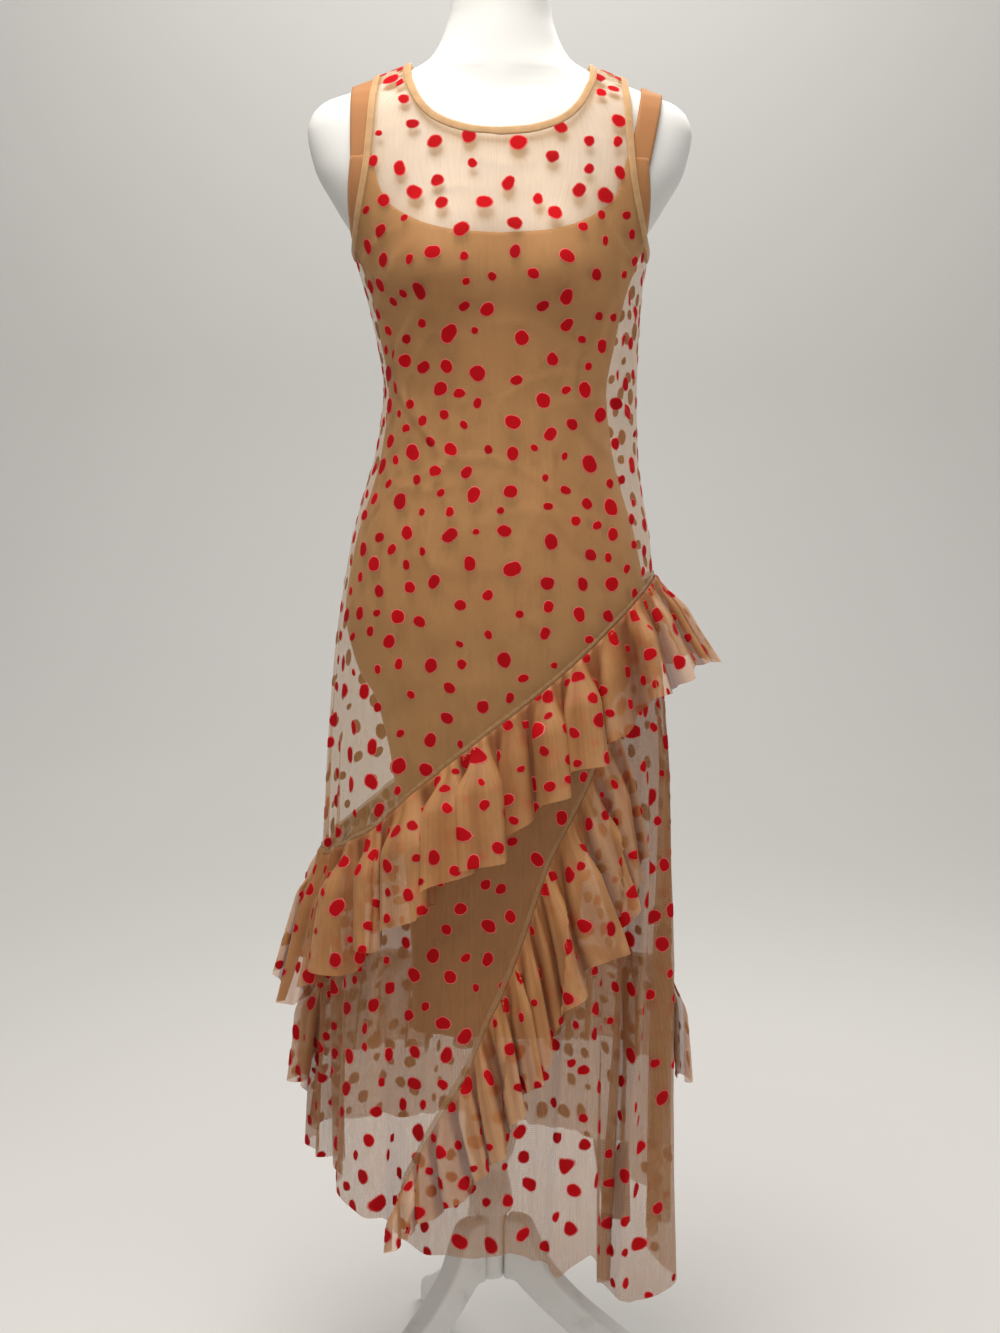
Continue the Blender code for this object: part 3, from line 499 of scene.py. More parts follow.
class Body:
    """A surface round the body: points from an angle and a height, and the directions out of it."""

    def __init__(self, sections, folds=(), folds_range=(1.0, 0.0, 1.0)):
        rows = np.array(sorted(sections))
        self.columns = [smooth_reader(rows[:, 0], rows[:, k]) for k in range(1, rows.shape[1])]
        self.folds, self.folds_range = folds, folds_range

    def half_width(self, z):
        return float(self.columns[1](np.array([z]))[0])

    def point(self, angle, z, inward=1.0):
        """inward is the share of each inward fold that is kept, for cloth that lies on the folds."""
        angle, z = np.broadcast_arrays(np.asarray(angle, float), np.asarray(z, float))
        minus_x, plus_x, front, back, square = (column(z) for column in self.columns)
        sine, cosine = np.sin(angle), np.cos(angle)
        width = np.where(sine > 0, plus_x, minus_x)
        depth = np.where(cosine > 0, front, back)
        x = width * np.sign(sine) * np.abs(sine) ** (2 / square)
        y = -depth * np.sign(cosine) * np.abs(cosine) ** (2 / square)
        y = y - np.where(cosine > 0, bust_rise(x, z) * np.clip(cosine * 3, 0, 1), 0)
        out = np.zeros_like(angle)
        for middle, outward, half_width in self.folds:
            out = out + outward * bump_at(wrapped(np.degrees(angle) - middle), half_width)
        out = out * grown(z, *self.folds_range)
        out = np.where(out < 0, out * inward, out)
        return np.stack([x + out * sine, y - out * cosine, z], axis=-1)

    def out(self, angle, z, inward=1.0, step=0.004):
        """The unit direction out of the surface."""
        round_it = self.point(angle + step, z, inward) - self.point(angle - step, z, inward)
        up = self.point(angle, z + step * 0.2, inward) - self.point(angle, z - step * 0.2, inward)
        normal = np.cross(round_it, up)
        return normal / np.linalg.norm(normal, axis=-1, keepdims=True)

    def angle_at(self, x, z):
        """The angle on the front where the surface is this far from the middle."""
        width, square = self.half_width(z), float(self.columns[4](np.array([z]))[0])
        return math.copysign(math.asin(min(1.0, abs(x) / width) ** (square / 2)), x)

    def seam_angle(self, z):
        """The angle just in front of the side seam, half a seam gap from it."""
        front, square = (float(self.columns[k](np.array([z]))[0]) for k in (2, 4))
        return math.acos((SEAM_GAP / 2 / front) ** (square / 2))


def on_torso(sections):
    """The sections, and the torso's own above them."""
    top = max(row[0] for row in sections)
    return tuple(sections) + tuple(row for row in TORSO_SECTIONS if row[0] > top)


TORSO = Body(TORSO_SECTIONS)
SLIP = Body(on_torso(SLIP_SECTIONS), SLIP_FOLDS, SLIP_FOLDS_RANGE)
DRESS = Body(on_torso(DRESS_SECTIONS), SKIRT_FOLDS, SKIRT_FOLDS_RANGE)
HEM_READER = smooth_reader(*np.array(HEM, float).T)

# Lengths up the side of the torso, so that the flat tops of the shoulders are cut as finely as the rest
SIDE_HEIGHTS = np.linspace(0.0, TORSO_TOP, 1500)
SIDE_WIDTHS = TORSO.columns[1](np.maximum(SIDE_HEIGHTS, CHEST))
SIDE_LENGTHS = np.concatenate([[0], np.cumsum(np.hypot(np.diff(SIDE_HEIGHTS), np.diff(SIDE_WIDTHS)))])


def level_of(z):
    return np.interp(z, SIDE_HEIGHTS, SIDE_LENGTHS)


def height_of(level):
    return np.interp(level, SIDE_LENGTHS, SIDE_HEIGHTS)


def upper_seam(angle):
    return UPPER_SEAM_MIDDLE + UPPER_SEAM_TILT * np.sin(angle)


def hem(angle):
    return HEM_READER(wrapped(np.degrees(angle)))


def through(rows, count):
    """count points along a smooth curve through the rows, evenly spaced."""
    rows = np.array(rows, float)
    along = np.concatenate([[0], np.cumsum(np.linalg.norm(np.diff(rows, axis=0), axis=1))])
    at = np.linspace(0, along[-1], count)
    return np.stack([smooth_reader(along, rows[:, k])(at) for k in range(rows.shape[1])], axis=1)


def edge_path(body, rows, step):
    """Rows of distance from the middle and height, as angles and heights evenly along the surface."""
    fine = through(rows, 400)
    angles = np.array([min(body.angle_at(x, z), body.seam_angle(z)) for x, z in fine])
    hops = np.linalg.norm(np.diff(body.point(angles, fine[:, 1]), axis=0), axis=1)
    along = np.concatenate([[0], np.cumsum(hops)])
    at = np.linspace(0, along[-1], round(along[-1] / step) + 1)
    return list(zip(np.interp(at, along, angles).tolist(), np.interp(at, along, fine[:, 1]).tolist()))


def side_up(body, low, high, step):
    count = max(2, round(float(level_of(high) - level_of(low)) / step) + 1)
    heights = height_of(np.linspace(level_of(low), level_of(high), count))
    return [(body.seam_angle(z), float(z)) for z in heights]


def mirrored(rows):
    return [(-angle, z) for angle, z in rows]


def inside(points, loop, margin):
    """True for each point that is inside the closed loop and at least the margin from it."""
    found = np.zeros(len(points), bool)
    a, b = loop, np.roll(loop, -1, axis=0)
    along = b - a
    square = (along**2).sum(axis=1)
    rise = np.where(b[:, 1] == a[:, 1], 1.0, b[:, 1] - a[:, 1])
    for low in range(0, len(points), 2000):
        x, y = points[low : low + 2000, :1], points[low : low + 2000, 1:]
        crosses = (a[:, 1] > y) != (b[:, 1] > y)
        odd = (crosses & (x < (b[:, 0] - a[:, 0]) * (y - a[:, 1]) / rise + a[:, 0])).sum(axis=1) % 2 == 1
        share = ((x - a[:, 0]) * along[:, 0] + (y - a[:, 1]) * along[:, 1]) / square
        near = a + np.clip(share, 0, 1)[..., None] * along
        distance = np.hypot(x - near[..., 0], y - near[..., 1]).min(axis=1)
        found[low : low + 2000] = odd & (distance > margin)
    return found


def flat_loop(outline):
    """The closed outline laid flat, in metres."""
    return np.array([(angle * BODY_RADIUS, level_of(z)) for angle, z in outline])


def filled(outline, step):
    """The outline filled with triangles: angles, heights and the triangles."""
    loop = flat_loop(outline) / step
    low, high = loop.min(axis=0), loop.max(axis=0)
    grid = []
    for row, y in enumerate(np.arange(low[1] + 0.5, high[1], 0.87)):
        grid += [(x, y) for x in np.arange(low[0] + 0.5 * (row % 2), high[0], 1.0)]
    grid = np.array(grid)
    points = np.concatenate([loop, grid[inside(grid, loop, 0.5)]])
    made = delaunay_2d_cdt([Vector(p) for p in points], [], [list(range(len(loop)))], 1, 1e-6)
    flat = np.array([tuple(p) for p in made[0]])
    return flat[:, 0] * step / BODY_RADIUS, height_of(flat[:, 1] * step), [tuple(f) for f in made[2]]


# Surfaces of the cloth


def creases(x, z, rows):
    """Soft ridges: middle x and z, slope in degrees, half length, half width and height."""
    total = np.zeros_like(x)
    for middle_x, middle_z, slope, half_length, half_width, height in rows:
        turn = math.radians(slope)
        along = (x - middle_x) * math.cos(turn) + (z - middle_z) * math.sin(turn)
        across = (z - middle_z) * math.cos(turn) - (x - middle_x) * math.sin(turn)
        across = across + 6.0 * along**2 * np.sign(slope)
        total = total + height * bump_at(along, half_length) * bump_at(across, half_width)
    return total


SLIP_CREASES = (
    (-0.066, 1.208, 0, 0.040, 0.018, 0.0028),
    (0.066, 1.208, 0, 0.040, 0.018, 0.0028),
    (-0.064, 1.158, 0, 0.050, 0.014, -0.0022),
    (0.064, 1.158, 0, 0.050, 0.014, -0.0022),
    (-0.020, 1.016, 1, 0.070, 0.0045, 0.0029),
    (-0.075, 0.985, -4, 0.034, 0.0045, 0.0029),
    (0.045, 1.098, 16, 0.045, 0.0050, 0.0032),
    (0.060, 1.122, 24, 0.040, 0.0045, 0.0029),
    (0.074, 1.075, 12, 0.034, 0.0050, 0.0025),
    (-0.105, 1.195, 62, 0.035, 0.0060, 0.0032),
    (-0.120, 1.225, 40, 0.022, 0.0045, 0.0036),
    (0.118, 1.222, -48, 0.028, 0.0050, 0.0036),
    (-0.060, 1.140, -18, 0.036, 0.0055, 0.0022),
    (0.010, 1.150, 3, 0.030, 0.0060, 0.0018),
    (0.020, 0.965, 6, 0.050, 0.0060, 0.0018),
    (-0.030, 0.905, -3, 0.070, 0.0080, 0.0014),
    (0.050, 0.860, 5, 0.060, 0.0080, 0.0014),
)
MESH_CREASES = (
    (0.078, 1.060, 112, 0.060, 0.0050, 0.0041),
    (0.052, 0.980, 100, 0.055, 0.0055, 0.0038),
    (-0.094, 1.110, 88, 0.060, 0.0042, 0.0049),
    (-0.080, 1.095, 86, 0.050, 0.0036, 0.0038),
    (0.100, 1.120, 92, 0.045, 0.0036, 0.0049),
    (0.111, 1.105, 90, 0.050, 0.0036, 0.0046),
    (0.120, 1.180, 100, 0.030, 0.0036, 0.0041),
    (-0.070, 0.960, 84, 0.060, 0.0050, 0.0022),
    (-0.030, 0.930, 87, 0.060, 0.0050, 0.0019),
    (0.020, 0.900, 93, 0.070, 0.0050, 0.0019),
    (-0.110, 1.335, 30, 0.016, 0.0050, 0.0016),
    (0.095, 1.330, -32, 0.016, 0.0050, 0.0016),
    (0.000, 1.300, -8, 0.050, 0.0060, 0.0014),
    (-0.050, 1.275, 12, 0.040, 0.0050, 0.0014),
)


def ripples(angle, z, seed, count, low, high, size):
    """Gentle random ridges that run down the cloth."""
    draw = np.random.default_rng(seed)
    total = np.zeros_like(angle)
    for _ in range(count):
        turns = draw.integers(low, high)
        phase, sway, size_here = draw.uniform(0, 6.28), draw.uniform(0, 6.28), draw.uniform(0.4, 1)
        wander = 0.5 * np.sin(z * draw.uniform(5, 11) + sway)
        total = total + size_here * np.sin(turns * angle + phase + wander)
    return size * total / math.sqrt(count)


def slip_point(angle, z, out=SLIP_OUT):
    points = SLIP.point(angle, z)
    front = np.clip(np.cos(angle) * 4, 0, 1)
    detail = creases(points[..., 0], z, SLIP_CREASES) * front
    below = np.clip((0.80 - z) / 0.16, 0, 1)
    detail = detail + (ripples(angle, z, 3, 5, 7, 19, 0.0013) + 0.0011) * below
    ridge, valley = (bump_at(z - height, half) for height, half in (FORM_EDGE_RIDGE, FORM_EDGE_VALLEY))
    detail = detail + FORM_EDGE_RELIEF * (ridge - valley)
    return points + SLIP.out(angle, z) * (out + detail)[..., None]


def turned_by(points, angle, z):
    """The points turned about the column where a fold's crest hangs over its valley."""
    moved = np.zeros_like(angle)
    degrees = np.degrees(angle)
    for middle, turn, half_width in FOLD_TURNS:
        moved = moved + turn * bump_at(wrapped(degrees - middle), half_width)
    moved = np.radians(moved) * grown(z, 0.80, 0.24, 1.1)
    sine, cosine = np.sin(moved), np.cos(moved)
    x, y = points[..., 0], points[..., 1]
    return np.stack([x * cosine - y * sine, x * sine + y * cosine, points[..., 2]], axis=-1)


def dress_point(angle, z, out=DRESS_OUT, inward=1.0):
    """The mesh dress, from the shoulders to the hem, or cloth that lies on it."""
    angle, z = np.broadcast_arrays(np.asarray(angle, float), np.asarray(z, float))
    points = DRESS.point(angle, z, inward)
    front = np.clip(np.cos(angle) * 4, 0, 1)
    detail = creases(points[..., 0], z, MESH_CREASES) * front
    degrees = np.degrees(angle)
    for middle, outward, half_width, start in FINE_FOLDS:
        wander = 1.6 * np.sin(z * 7 + middle)
        ridge = bump_at(wrapped(degrees - middle - wander), half_width)
        detail = detail + outward * ridge * np.clip((start - z) / 0.40, 0, 1)
    below = np.clip((0.92 - z) / 0.45, 0, 1)
    detail = detail + (ripples(angle, z, 5, 6, 9, 33, 0.0015) + 0.0008) * below
    detail = np.where(detail < 0, detail * inward, detail)
    points = points + DRESS.out(angle, z, inward) * (out + detail)[..., None]
    return turned_by(points, angle, z)


def skirt_point(u, v):
    """u is the angle, and v goes from 0 at the upper seam to 1 at the hem."""
    top, bottom = upper_seam(u), hem(u)
    bottom = bottom + 0.0030 * np.sin(9 * u + 1.0) + 0.0018 * np.sin(23 * u)
    return dress_point(u, top + (bottom - top) * v)


def noise_line(seed, knots, closed):
    """A smooth random line from 0 to 1, repeating when closed."""
    values = np.random.default_rng(seed).uniform(-1, 1, knots)
    if closed:
        places = np.arange(-2, knots + 3) / knots
        reader = smooth_reader(places, values[np.arange(-2, knots + 3) % knots])
        return lambda s: reader(np.mod(s, 1.0))
    reader = smooth_reader(np.linspace(0, 1, knots), values)
    return lambda s: reader(np.clip(s, 0, 1))


class Ruffle:
    """A gathered strip that hangs from a seam: s runs along its fabric, v from the seam to the edge."""

    def __init__(self, seam, drop, flare, depth, folds, seed, lean, closed=False, start_out=RUFFLE_OUT):
        self.seam, self.drop, self.flare, self.depth = seam, drop, flare, depth
        self.folds, self.closed, self.lean, self.start_out = folds, closed, lean, start_out
        self.wobble = noise_line(seed, max(6, folds // 2), closed)
        self.size = noise_line(seed + 1, folds, closed)
        self.skew = noise_line(seed + 2, folds, closed)
        self.hang = noise_line(seed + 3, folds * 2, closed)
        self.drift = noise_line(seed + 4, max(5, folds // 3), closed)

    def phase(self, s):
        return 2 * math.pi * self.folds * s + 2.4 * self.wobble(s)

    def pleats(self, s):
        """The smaller folds within each fold, from 0 in a valley to 1 on a crest."""
        ridge = 0.5 + 0.5 * np.cos(3 * self.phase(s) + 2.6 * self.skew(s) + 5 * self.drift(s))
        return ridge * (0.55 + 0.45 * self.size(s))

    def __call__(self, s, v):
        s, v = np.broadcast_arrays(np.asarray(s, float), np.asarray(v, float))
        turn = 2 * math.pi * self.folds
        phase = self.phase(s)
        open_up = np.clip(v / 0.42, 0, 1)
        open_up = open_up * open_up * (3 - 2 * open_up)
        size = 0.80 + 0.48 * self.size(s)
        swing = 2.05 * np.sin(phase + 1.1 * self.skew(s)) + 0.45 * np.sin(2 * phase)
        angle, _ = self.seam(s + swing * open_up * size / turn)
        _, seam_z = self.seam(s)
        angle = angle + np.radians(self.lean(s) * (1 + 0.35 * self.drift(s))) * v
        z = seam_z - self.drop(s) * (1 + 0.07 * self.hang(s)) * v
        crest = 0.5 + 0.5 * np.cos(phase)
        gathers = np.sin(phase * 3 + 2.0 * self.skew(s * 0.999)) * np.exp(-((v / 0.20) ** 2))
        fine = 0.0012 * np.sin(phase * 2.5 + 3 * v + 4 * self.drift(s)) * v
        out = self.start_out + self.flare(s) * v**1.3 + self.depth(s) * size * crest * open_up
        out = out + (0.0014 * (1 + gathers) + fine) * np.clip(v / 0.03, 0, 1)
        out = out + 0.0042 * self.pleats(s) * open_up
        return dress_point(angle, z, out, 1 - 0.75 * np.clip(v * 3, 0, 1))


def upper_seam_at(s):
    angle = -math.pi / 2 + 2 * math.pi * s
    return angle, upper_seam(angle) - 0.0008


def side_shares(s):
    angle = -math.pi / 2 + 2 * math.pi * s
    return np.clip(-np.sin(angle), 0, 1), np.clip(np.sin(angle), 0, 1)


def upper_drop(s):
    minus_x, plus_x = side_shares(s)
    return 0.116 + 0.044 * minus_x**8 - 0.026 * plus_x


def upper_flare(s):
    minus_x, plus_x = side_shares(s)
    return 0.007 + 0.024 * minus_x**8 + 0.034 * plus_x**8


def upper_depth(s):
    minus_x, plus_x = side_shares(s)
    return 0.0225 * (1 - 0.35 * (minus_x + plus_x) ** 8)


def steady(value):
    """A function of s that is the same all along the strip."""
    return lambda s: value + 0 * s


UPPER = Ruffle(upper_seam_at, upper_drop, upper_flare, upper_depth, 30, 21, steady(2.5), closed=True)

LOWER_ROWS = through([(math.radians(a) * BODY_RADIUS, z) for a, z in LOWER_SEAM], 300)
LOWER_SHARE = np.linspace(0, 1, 300)


def lower_seam_at(s):
    across = np.interp(s, LOWER_SHARE, LOWER_ROWS[:, 0])
    return across / BODY_RADIUS, np.interp(s, LOWER_SHARE, LOWER_ROWS[:, 1])


def lower_drop(s):
    return np.interp(s, (0, 0.5, 0.8, 1.0), (0.126, 0.118, 0.082, 0.040))


def lower_lean(s):
    return np.interp(s, (0, 0.5, 0.8, 1.0), (9.0, 8.0, 3.0, 1.0))


LOWER = Ruffle(lower_seam_at, lower_drop, steady(0.006), steady(0.0205), 14, 37, lower_lean)


def back_seam_at(s):
    local = -math.pi / 2 + math.pi * s
    seam = BACK_SEAM_RIGHT + (BACK_SEAM_LEFT - BACK_SEAM_RIGHT) * s
    return math.pi - local, seam - BACK_SEAM_DIP * np.cos(local) ** 2


BACK = Ruffle(back_seam_at, steady(0.117), steady(0.007), steady(0.0165), 16, 53, steady(1.0))


# Materials


class Nodes:
    """A material's node tree, built in few words."""

    def __init__(self, name):
        self.material = bpy.data.materials.new(name)
        self.material.use_nodes = True
        self.tree = self.material.node_tree
        self.shader = self.tree.nodes["Principled BSDF"]

    def add(self, kind, inputs=(), **settings):
        node = self.tree.nodes.new(kind)
        for key, value in settings.items():
            setattr(node, key, value)
        for socket, value in dict(inputs).items():
            if isinstance(value, bpy.types.NodeSocket):
                self.tree.links.new(value, node.inputs[socket])
            else:
                node.inputs[socket].default_value = value
        return node

    def math(self, operation, a, b=0.0, c=0.0):
        return self.add("ShaderNodeMath", {0: a, 1: b, 2: c}, operation=operation).outputs[0]

    def noise(self, vector, scale, detail=3.0, roughness=0.55):
        inputs = {"Vector": vector, "Scale": scale, "Detail": detail, "Roughness": roughness}
        return self.add("ShaderNodeTexNoise", inputs).outputs["Fac"]

    def place(self, kind="Object", scale=(1, 1, 1)):
        vector = self.uv(kind) if kind == "cloth" else self.add("ShaderNodeTexCoord").outputs[kind]
        return self.add("ShaderNodeMapping", {"Vector": vector, "Scale": scale}).outputs[0]

    def uv(self, name):
        return self.add("ShaderNodeUVMap", uv_map=name).outputs[0]

    def parts(self, vector):
        return self.add("ShaderNodeSeparateXYZ", {0: vector}).outputs

    def mix(self, factor, a, b, **settings):
        return self.add("ShaderNodeMix", {0: factor, 6: a, 7: b}, data_type="RGBA", **settings).outputs[2]

    def ramp(self, factor, stops):
        node = self.add("ShaderNodeValToRGB", {0: factor})
        node.color_ramp.elements.remove(node.color_ramp.elements[1])
        for k, (at, colour) in enumerate(stops):
            stop = node.color_ramp.elements[0] if k == 0 else node.color_ramp.elements.new(at)
            stop.position, stop.color = at, (*colour, 1)
        return node.outputs[0]

    def bump(self, height, strength, distance, before=None):
        inputs = {"Height": height, "Strength": strength, "Distance": distance}
        if before is not None:
            inputs["Normal"] = before
        return self.add("ShaderNodeBump", inputs).outputs[0]

    def set(self, **values):
        for name, value in values.items():
            socket = self.shader.inputs[name.replace("_", " ")]
            if isinstance(value, bpy.types.NodeSocket):
                self.tree.links.new(value, socket)
            else:
                socket.default_value = value
        return self.material


def shaded(colour, factor):
    return tuple(part * factor for part in colour)


# The cloths of the mesh dress: colour, and the share of the light that the cloth stops. The sheer, skirt and
# gathered mesh are one cloth, each coloured to how lit that part looks: the bodice's brighter colour is
# painted light, standing for light through the threads, and the skirt's darker colour is painted shade.
LIT_SHEER_MESH = ((0.74, 0.43, 0.165), 0.30)
SHADED_SKIRT_MESH = ((0.46, 0.215, 0.078), 0.52)
GATHERED_MESH = ((0.85, 0.42, 0.16), 0.46)
SEAM_MESH = ((0.50, 0.28, 0.12), 0.60)
BINDING_MESH = ((0.56, 0.325, 0.145), 1.0)
JERSEY_TAN = (0.46, 0.192, 0.064)

# Painted shade: the mesh's colour darkens towards a fold's valley, standing in for the shade inside the fold:
# depth in the fold, colour
PAINTED_FOLD_SHADE = (
    (0.0, (1.0, 1.0, 1.0)),
    (0.3, (0.84, 0.79, 0.72)),
    (0.7, (0.50, 0.38, 0.28)),
    (1.0, (0.33, 0.21, 0.14)),
)

# The flock from a dot's middle to its rim: share of the radius, colour
FLOCK_REDS = (
    (0.0, (0.50, 0.0015, 0.005)),
    (0.86, (0.53, 0.002, 0.006)),
    (0.94, (0.60, 0.024, 0.024)),
    (1.0, (0.80, 0.22, 0.18)),
)


def thread_height(nodes, place, across, along):
    """Crossed threads, from 0 to 1, with the given spacings in metres."""
    parts = nodes.parts(place)
    warp = nodes.math("SINE", nodes.math("MULTIPLY", parts[0], 2 * math.pi / across))
    weft = nodes.math("SINE", nodes.math("MULTIPLY", parts[1], 2 * math.pi / along))
    return nodes.math("MULTIPLY_ADD", nodes.math("MAXIMUM", warp, weft), 0.5, 0.5)


def mesh_material(name, tan, cover):
    """Sheer stretch mesh: fine threads with holes between them."""
    nodes = Nodes(name)
    place = nodes.place("cloth")
    threads = thread_height(nodes, place, 0.0016, 0.0019)
    cloud = nodes.noise(place, 26, 3)
    streaks = nodes.noise(nodes.place("cloth", (420, 30, 1)), 1.0, 2)
    fold = nodes.parts(nodes.uv("fold"))
    colour = nodes.ramp(cloud, ((0.3, shaded(tan, 0.92)), (0.7, shaded(tan, 1.05))))
    cover = nodes.math("MULTIPLY_ADD", threads, 0.07, cover)
    cover = nodes.math("MULTIPLY_ADD", nodes.math("SUBTRACT", streaks, 0.5), 0.22, cover)
    cover = nodes.math("MULTIPLY_ADD", nodes.math("SUBTRACT", cloud, 0.5), 0.08, cover)
    cover = nodes.math("MULTIPLY_ADD", fold[1], 0.30, cover)
    # Painted shade: the colour is multiplied darker deep in a fold
    depth = nodes.ramp(fold[0], PAINTED_FOLD_SHADE)
    colour = nodes.mix(1.0, colour, depth, blend_type="MULTIPLY")
    normal = nodes.bump(streaks, 0.35, 0.0006, nodes.bump(threads, 0.12, 0.0002))
    return nodes.set(
        Base_Color=colour,
        Alpha=cover,
        Roughness=0.62,
        Normal=normal,
        Sheen_Weight=0.2,
        Sheen_Roughness=0.4,
        Sheen_Tint=(1.0, 0.78, 0.50, 1),
    )


def band_material(name, tan, cover):
    """Mesh doubled in a seam or a binding, with a line of stitches along it."""
    nodes = Nodes(name)
    place = nodes.place("cloth")
    threads = thread_height(nodes, place, 0.0011, 0.0013)
    cloud = nodes.noise(place, 90, 3)
    parts = nodes.parts(place)
    run = nodes.math("SINE", nodes.math("MULTIPLY", parts[0], 2 * math.pi / 0.0032))
    line = nodes.math("COMPARE", parts[1], 0.0015, 0.00045)
    stitches = nodes.math("MULTIPLY", nodes.math("GREATER_THAN", run, -0.35), line)
    colour = nodes.ramp(cloud, ((0.3, shaded(tan, 0.86)), (0.7, shaded(tan, 1.1))))
    mixed = nodes.mix(stitches, colour, (*shaded(tan, 1.35), 1))
    normal = nodes.bump(stitches, 0.6, 0.0005, nodes.bump(threads, 0.35, 0.0003))
    return nodes.set(
        Base_Color=mixed,
        Alpha=cover,
        Roughness=0.68,
        Normal=normal,
        Sheen_Weight=0.3,
        Sheen_Roughness=0.4,
    )


def jersey_material():
    """Opaque fine jersey with vertical ribs of stitches."""
    nodes = Nodes("jersey")
    place = nodes.place("cloth")
    threads = thread_height(nodes, place, 0.0010, 0.0014)
    cloud = nodes.noise(place, 14, 4)
    fuzz = nodes.noise(place, 900, 2)
    colour = nodes.ramp(cloud, ((0.3, shaded(JERSEY_TAN, 0.92)), (0.7, shaded(JERSEY_TAN, 1.07))))
    normal = nodes.bump(cloud, 0.2, 0.002, nodes.bump(fuzz, 0.25, 0.0003, nodes.bump(threads, 0.5, 0.0002)))
    return nodes.set(
        Base_Color=colour,
        Roughness=0.78,
        Normal=normal,
        Sheen_Weight=0.25,
        Sheen_Roughness=0.5,
        Sheen_Tint=(1.0, 0.8, 0.55, 1),
    )


def flock_material():
    """Red velvet flock: deep in the middle, fuzzy and pinker at the rim."""
    nodes = Nodes("red flock")
    parts = nodes.parts(nodes.uv("dot"))
    nap = nodes.noise(nodes.place("Object"), 900, 3)
    edge = nodes.math("MULTIPLY_ADD", nap, 0.08, parts[0])
    red = nodes.ramp(edge, FLOCK_REDS)
    tone = nodes.math("MULTIPLY_ADD", parts[1], 0.30, 0.82)
    grey = nodes.add("ShaderNodeCombineColor", {0: tone, 1: tone, 2: tone}).outputs[0]
    colour = nodes.mix(1.0, red, grey, blend_type="MULTIPLY")
    fade = nodes.math("MULTIPLY_ADD", edge, -9.0, 10.1)
    alpha = nodes.math("MINIMUM", nodes.math("MAXIMUM", fade, 0.0), 1.0)
    return nodes.set(
        Base_Color=colour,
        Alpha=alpha,
        Roughness=0.85,
        Normal=nodes.bump(nap, 0.5, 0.0004),
        Specular_IOR_Level=0.15,
        Sheen_Weight=0.06,
        Sheen_Roughness=0.35,
        Sheen_Tint=(1.0, 0.12, 0.1, 1),
    )


def form_material():
    nodes = Nodes("white form")
    place = nodes.place("Object")
    cloud, grain = nodes.noise(place, 7, 3), nodes.noise(place, 700, 3)
    colour = nodes.ramp(cloud, ((0.3, (0.80, 0.79, 0.76)), (0.7, (0.87, 0.865, 0.845))))
    normal = nodes.bump(grain, 0.12, 0.0003, nodes.bump(cloud, 0.1, 0.002))
    return nodes.set(Base_Color=colour, Roughness=0.55, Normal=normal, Coat_Weight=0.05, Coat_Roughness=0.4)


def paint_material():
    nodes = Nodes("white satin paint")
    place = nodes.place("Object", (1, 1, 0.25))
    grain, spots = nodes.noise(place, 60, 5), nodes.noise(nodes.place("Object"), 35, 4)
    paints = ((0.25, (0.66, 0.64, 0.60)), (0.42, (0.80, 0.79, 0.76)), (0.8, (0.84, 0.83, 0.81)))
    colour = nodes.ramp(spots, paints)
    rough = nodes.math("MULTIPLY_ADD", spots, 0.22, 0.26)
    normal = nodes.bump(grain, 0.12, 0.001)
    return nodes.set(Base_Color=colour, Roughness=rough, Normal=normal, Coat_Weight=0.15, Coat_Roughness=0.3)


def label_material():
    nodes = Nodes("white satin label")
    place = nodes.place("cloth")
    threads = thread_height(nodes, place, 0.0009, 0.0006)
    cloud = nodes.noise(place, 60, 3)
    colour = nodes.ramp(cloud, ((0.3, (0.78, 0.76, 0.73)), (0.7, (0.86, 0.85, 0.83))))
    normal = nodes.bump(threads, 0.3, 0.0002)
    return nodes.set(Base_Color=colour, Roughness=0.42, Normal=normal, Sheen_Weight=0.2)


def stage_material(name, colour):
    nodes = Nodes(name)
    cloud = nodes.noise(nodes.place("Object"), 3, 2)
    shade = nodes.ramp(cloud, ((0.0, shaded(colour, 0.985)), (1.0, shaded(colour, 1.0))))
    return nodes.set(Base_Color=shade, Roughness=0.85)


# Meshes


def set_map(mesh, name, values):
    """A UV map with one row of values for each vertex."""
    corners = np.empty(len(mesh.loops), np.int32)
    mesh.loops.foreach_get("vertex_index", corners)
    mesh.uv_layers.new(name=name).data.foreach_set("uv", values[corners].astype(np.float32).ravel())


def new_object(name, points, faces, material, uv=None, uv_name="cloth"):
    mesh = bpy.data.meshes.new(name)
    mesh.from_pydata((points + COLUMN).tolist(), [], faces)
    mesh.validate()
    if uv is not None:
        set_map(mesh, uv_name, uv)
    mesh.shade_smooth()
    made = bpy.data.objects.new(name, mesh)
    bpy.context.scene.collection.objects.link(made)
    mesh.materials.append(material)
    return made


def add_fold_map(made, shade, layers):
    """How deep in a fold each point lies, which sets its painted shade, and how many layers lie there, each
    from 0 to 1.
    """
    set_map(made.data, "fold", np.stack([shade.ravel(), layers.ravel()], axis=-1))


def grid_faces(rows, columns, closed=False, tube=False):
    """The faces of a grid, closed along its rows, or a tube that is closed across them as well."""
    faces = []
    for j in range(rows if tube else rows - 1):
        n = (j + 1) % rows
        for i in range(columns if closed else columns - 1):
            k = (i + 1) % columns
            faces.append((j * columns + i, j * columns + k, n * columns + k, n * columns + i))
    return faces


def end_faces(rows, columns):
    """The two flat ends of a closed grid."""
    return [tuple(range(columns))[::-1], tuple((rows - 1) * columns + i for i in range(columns))]


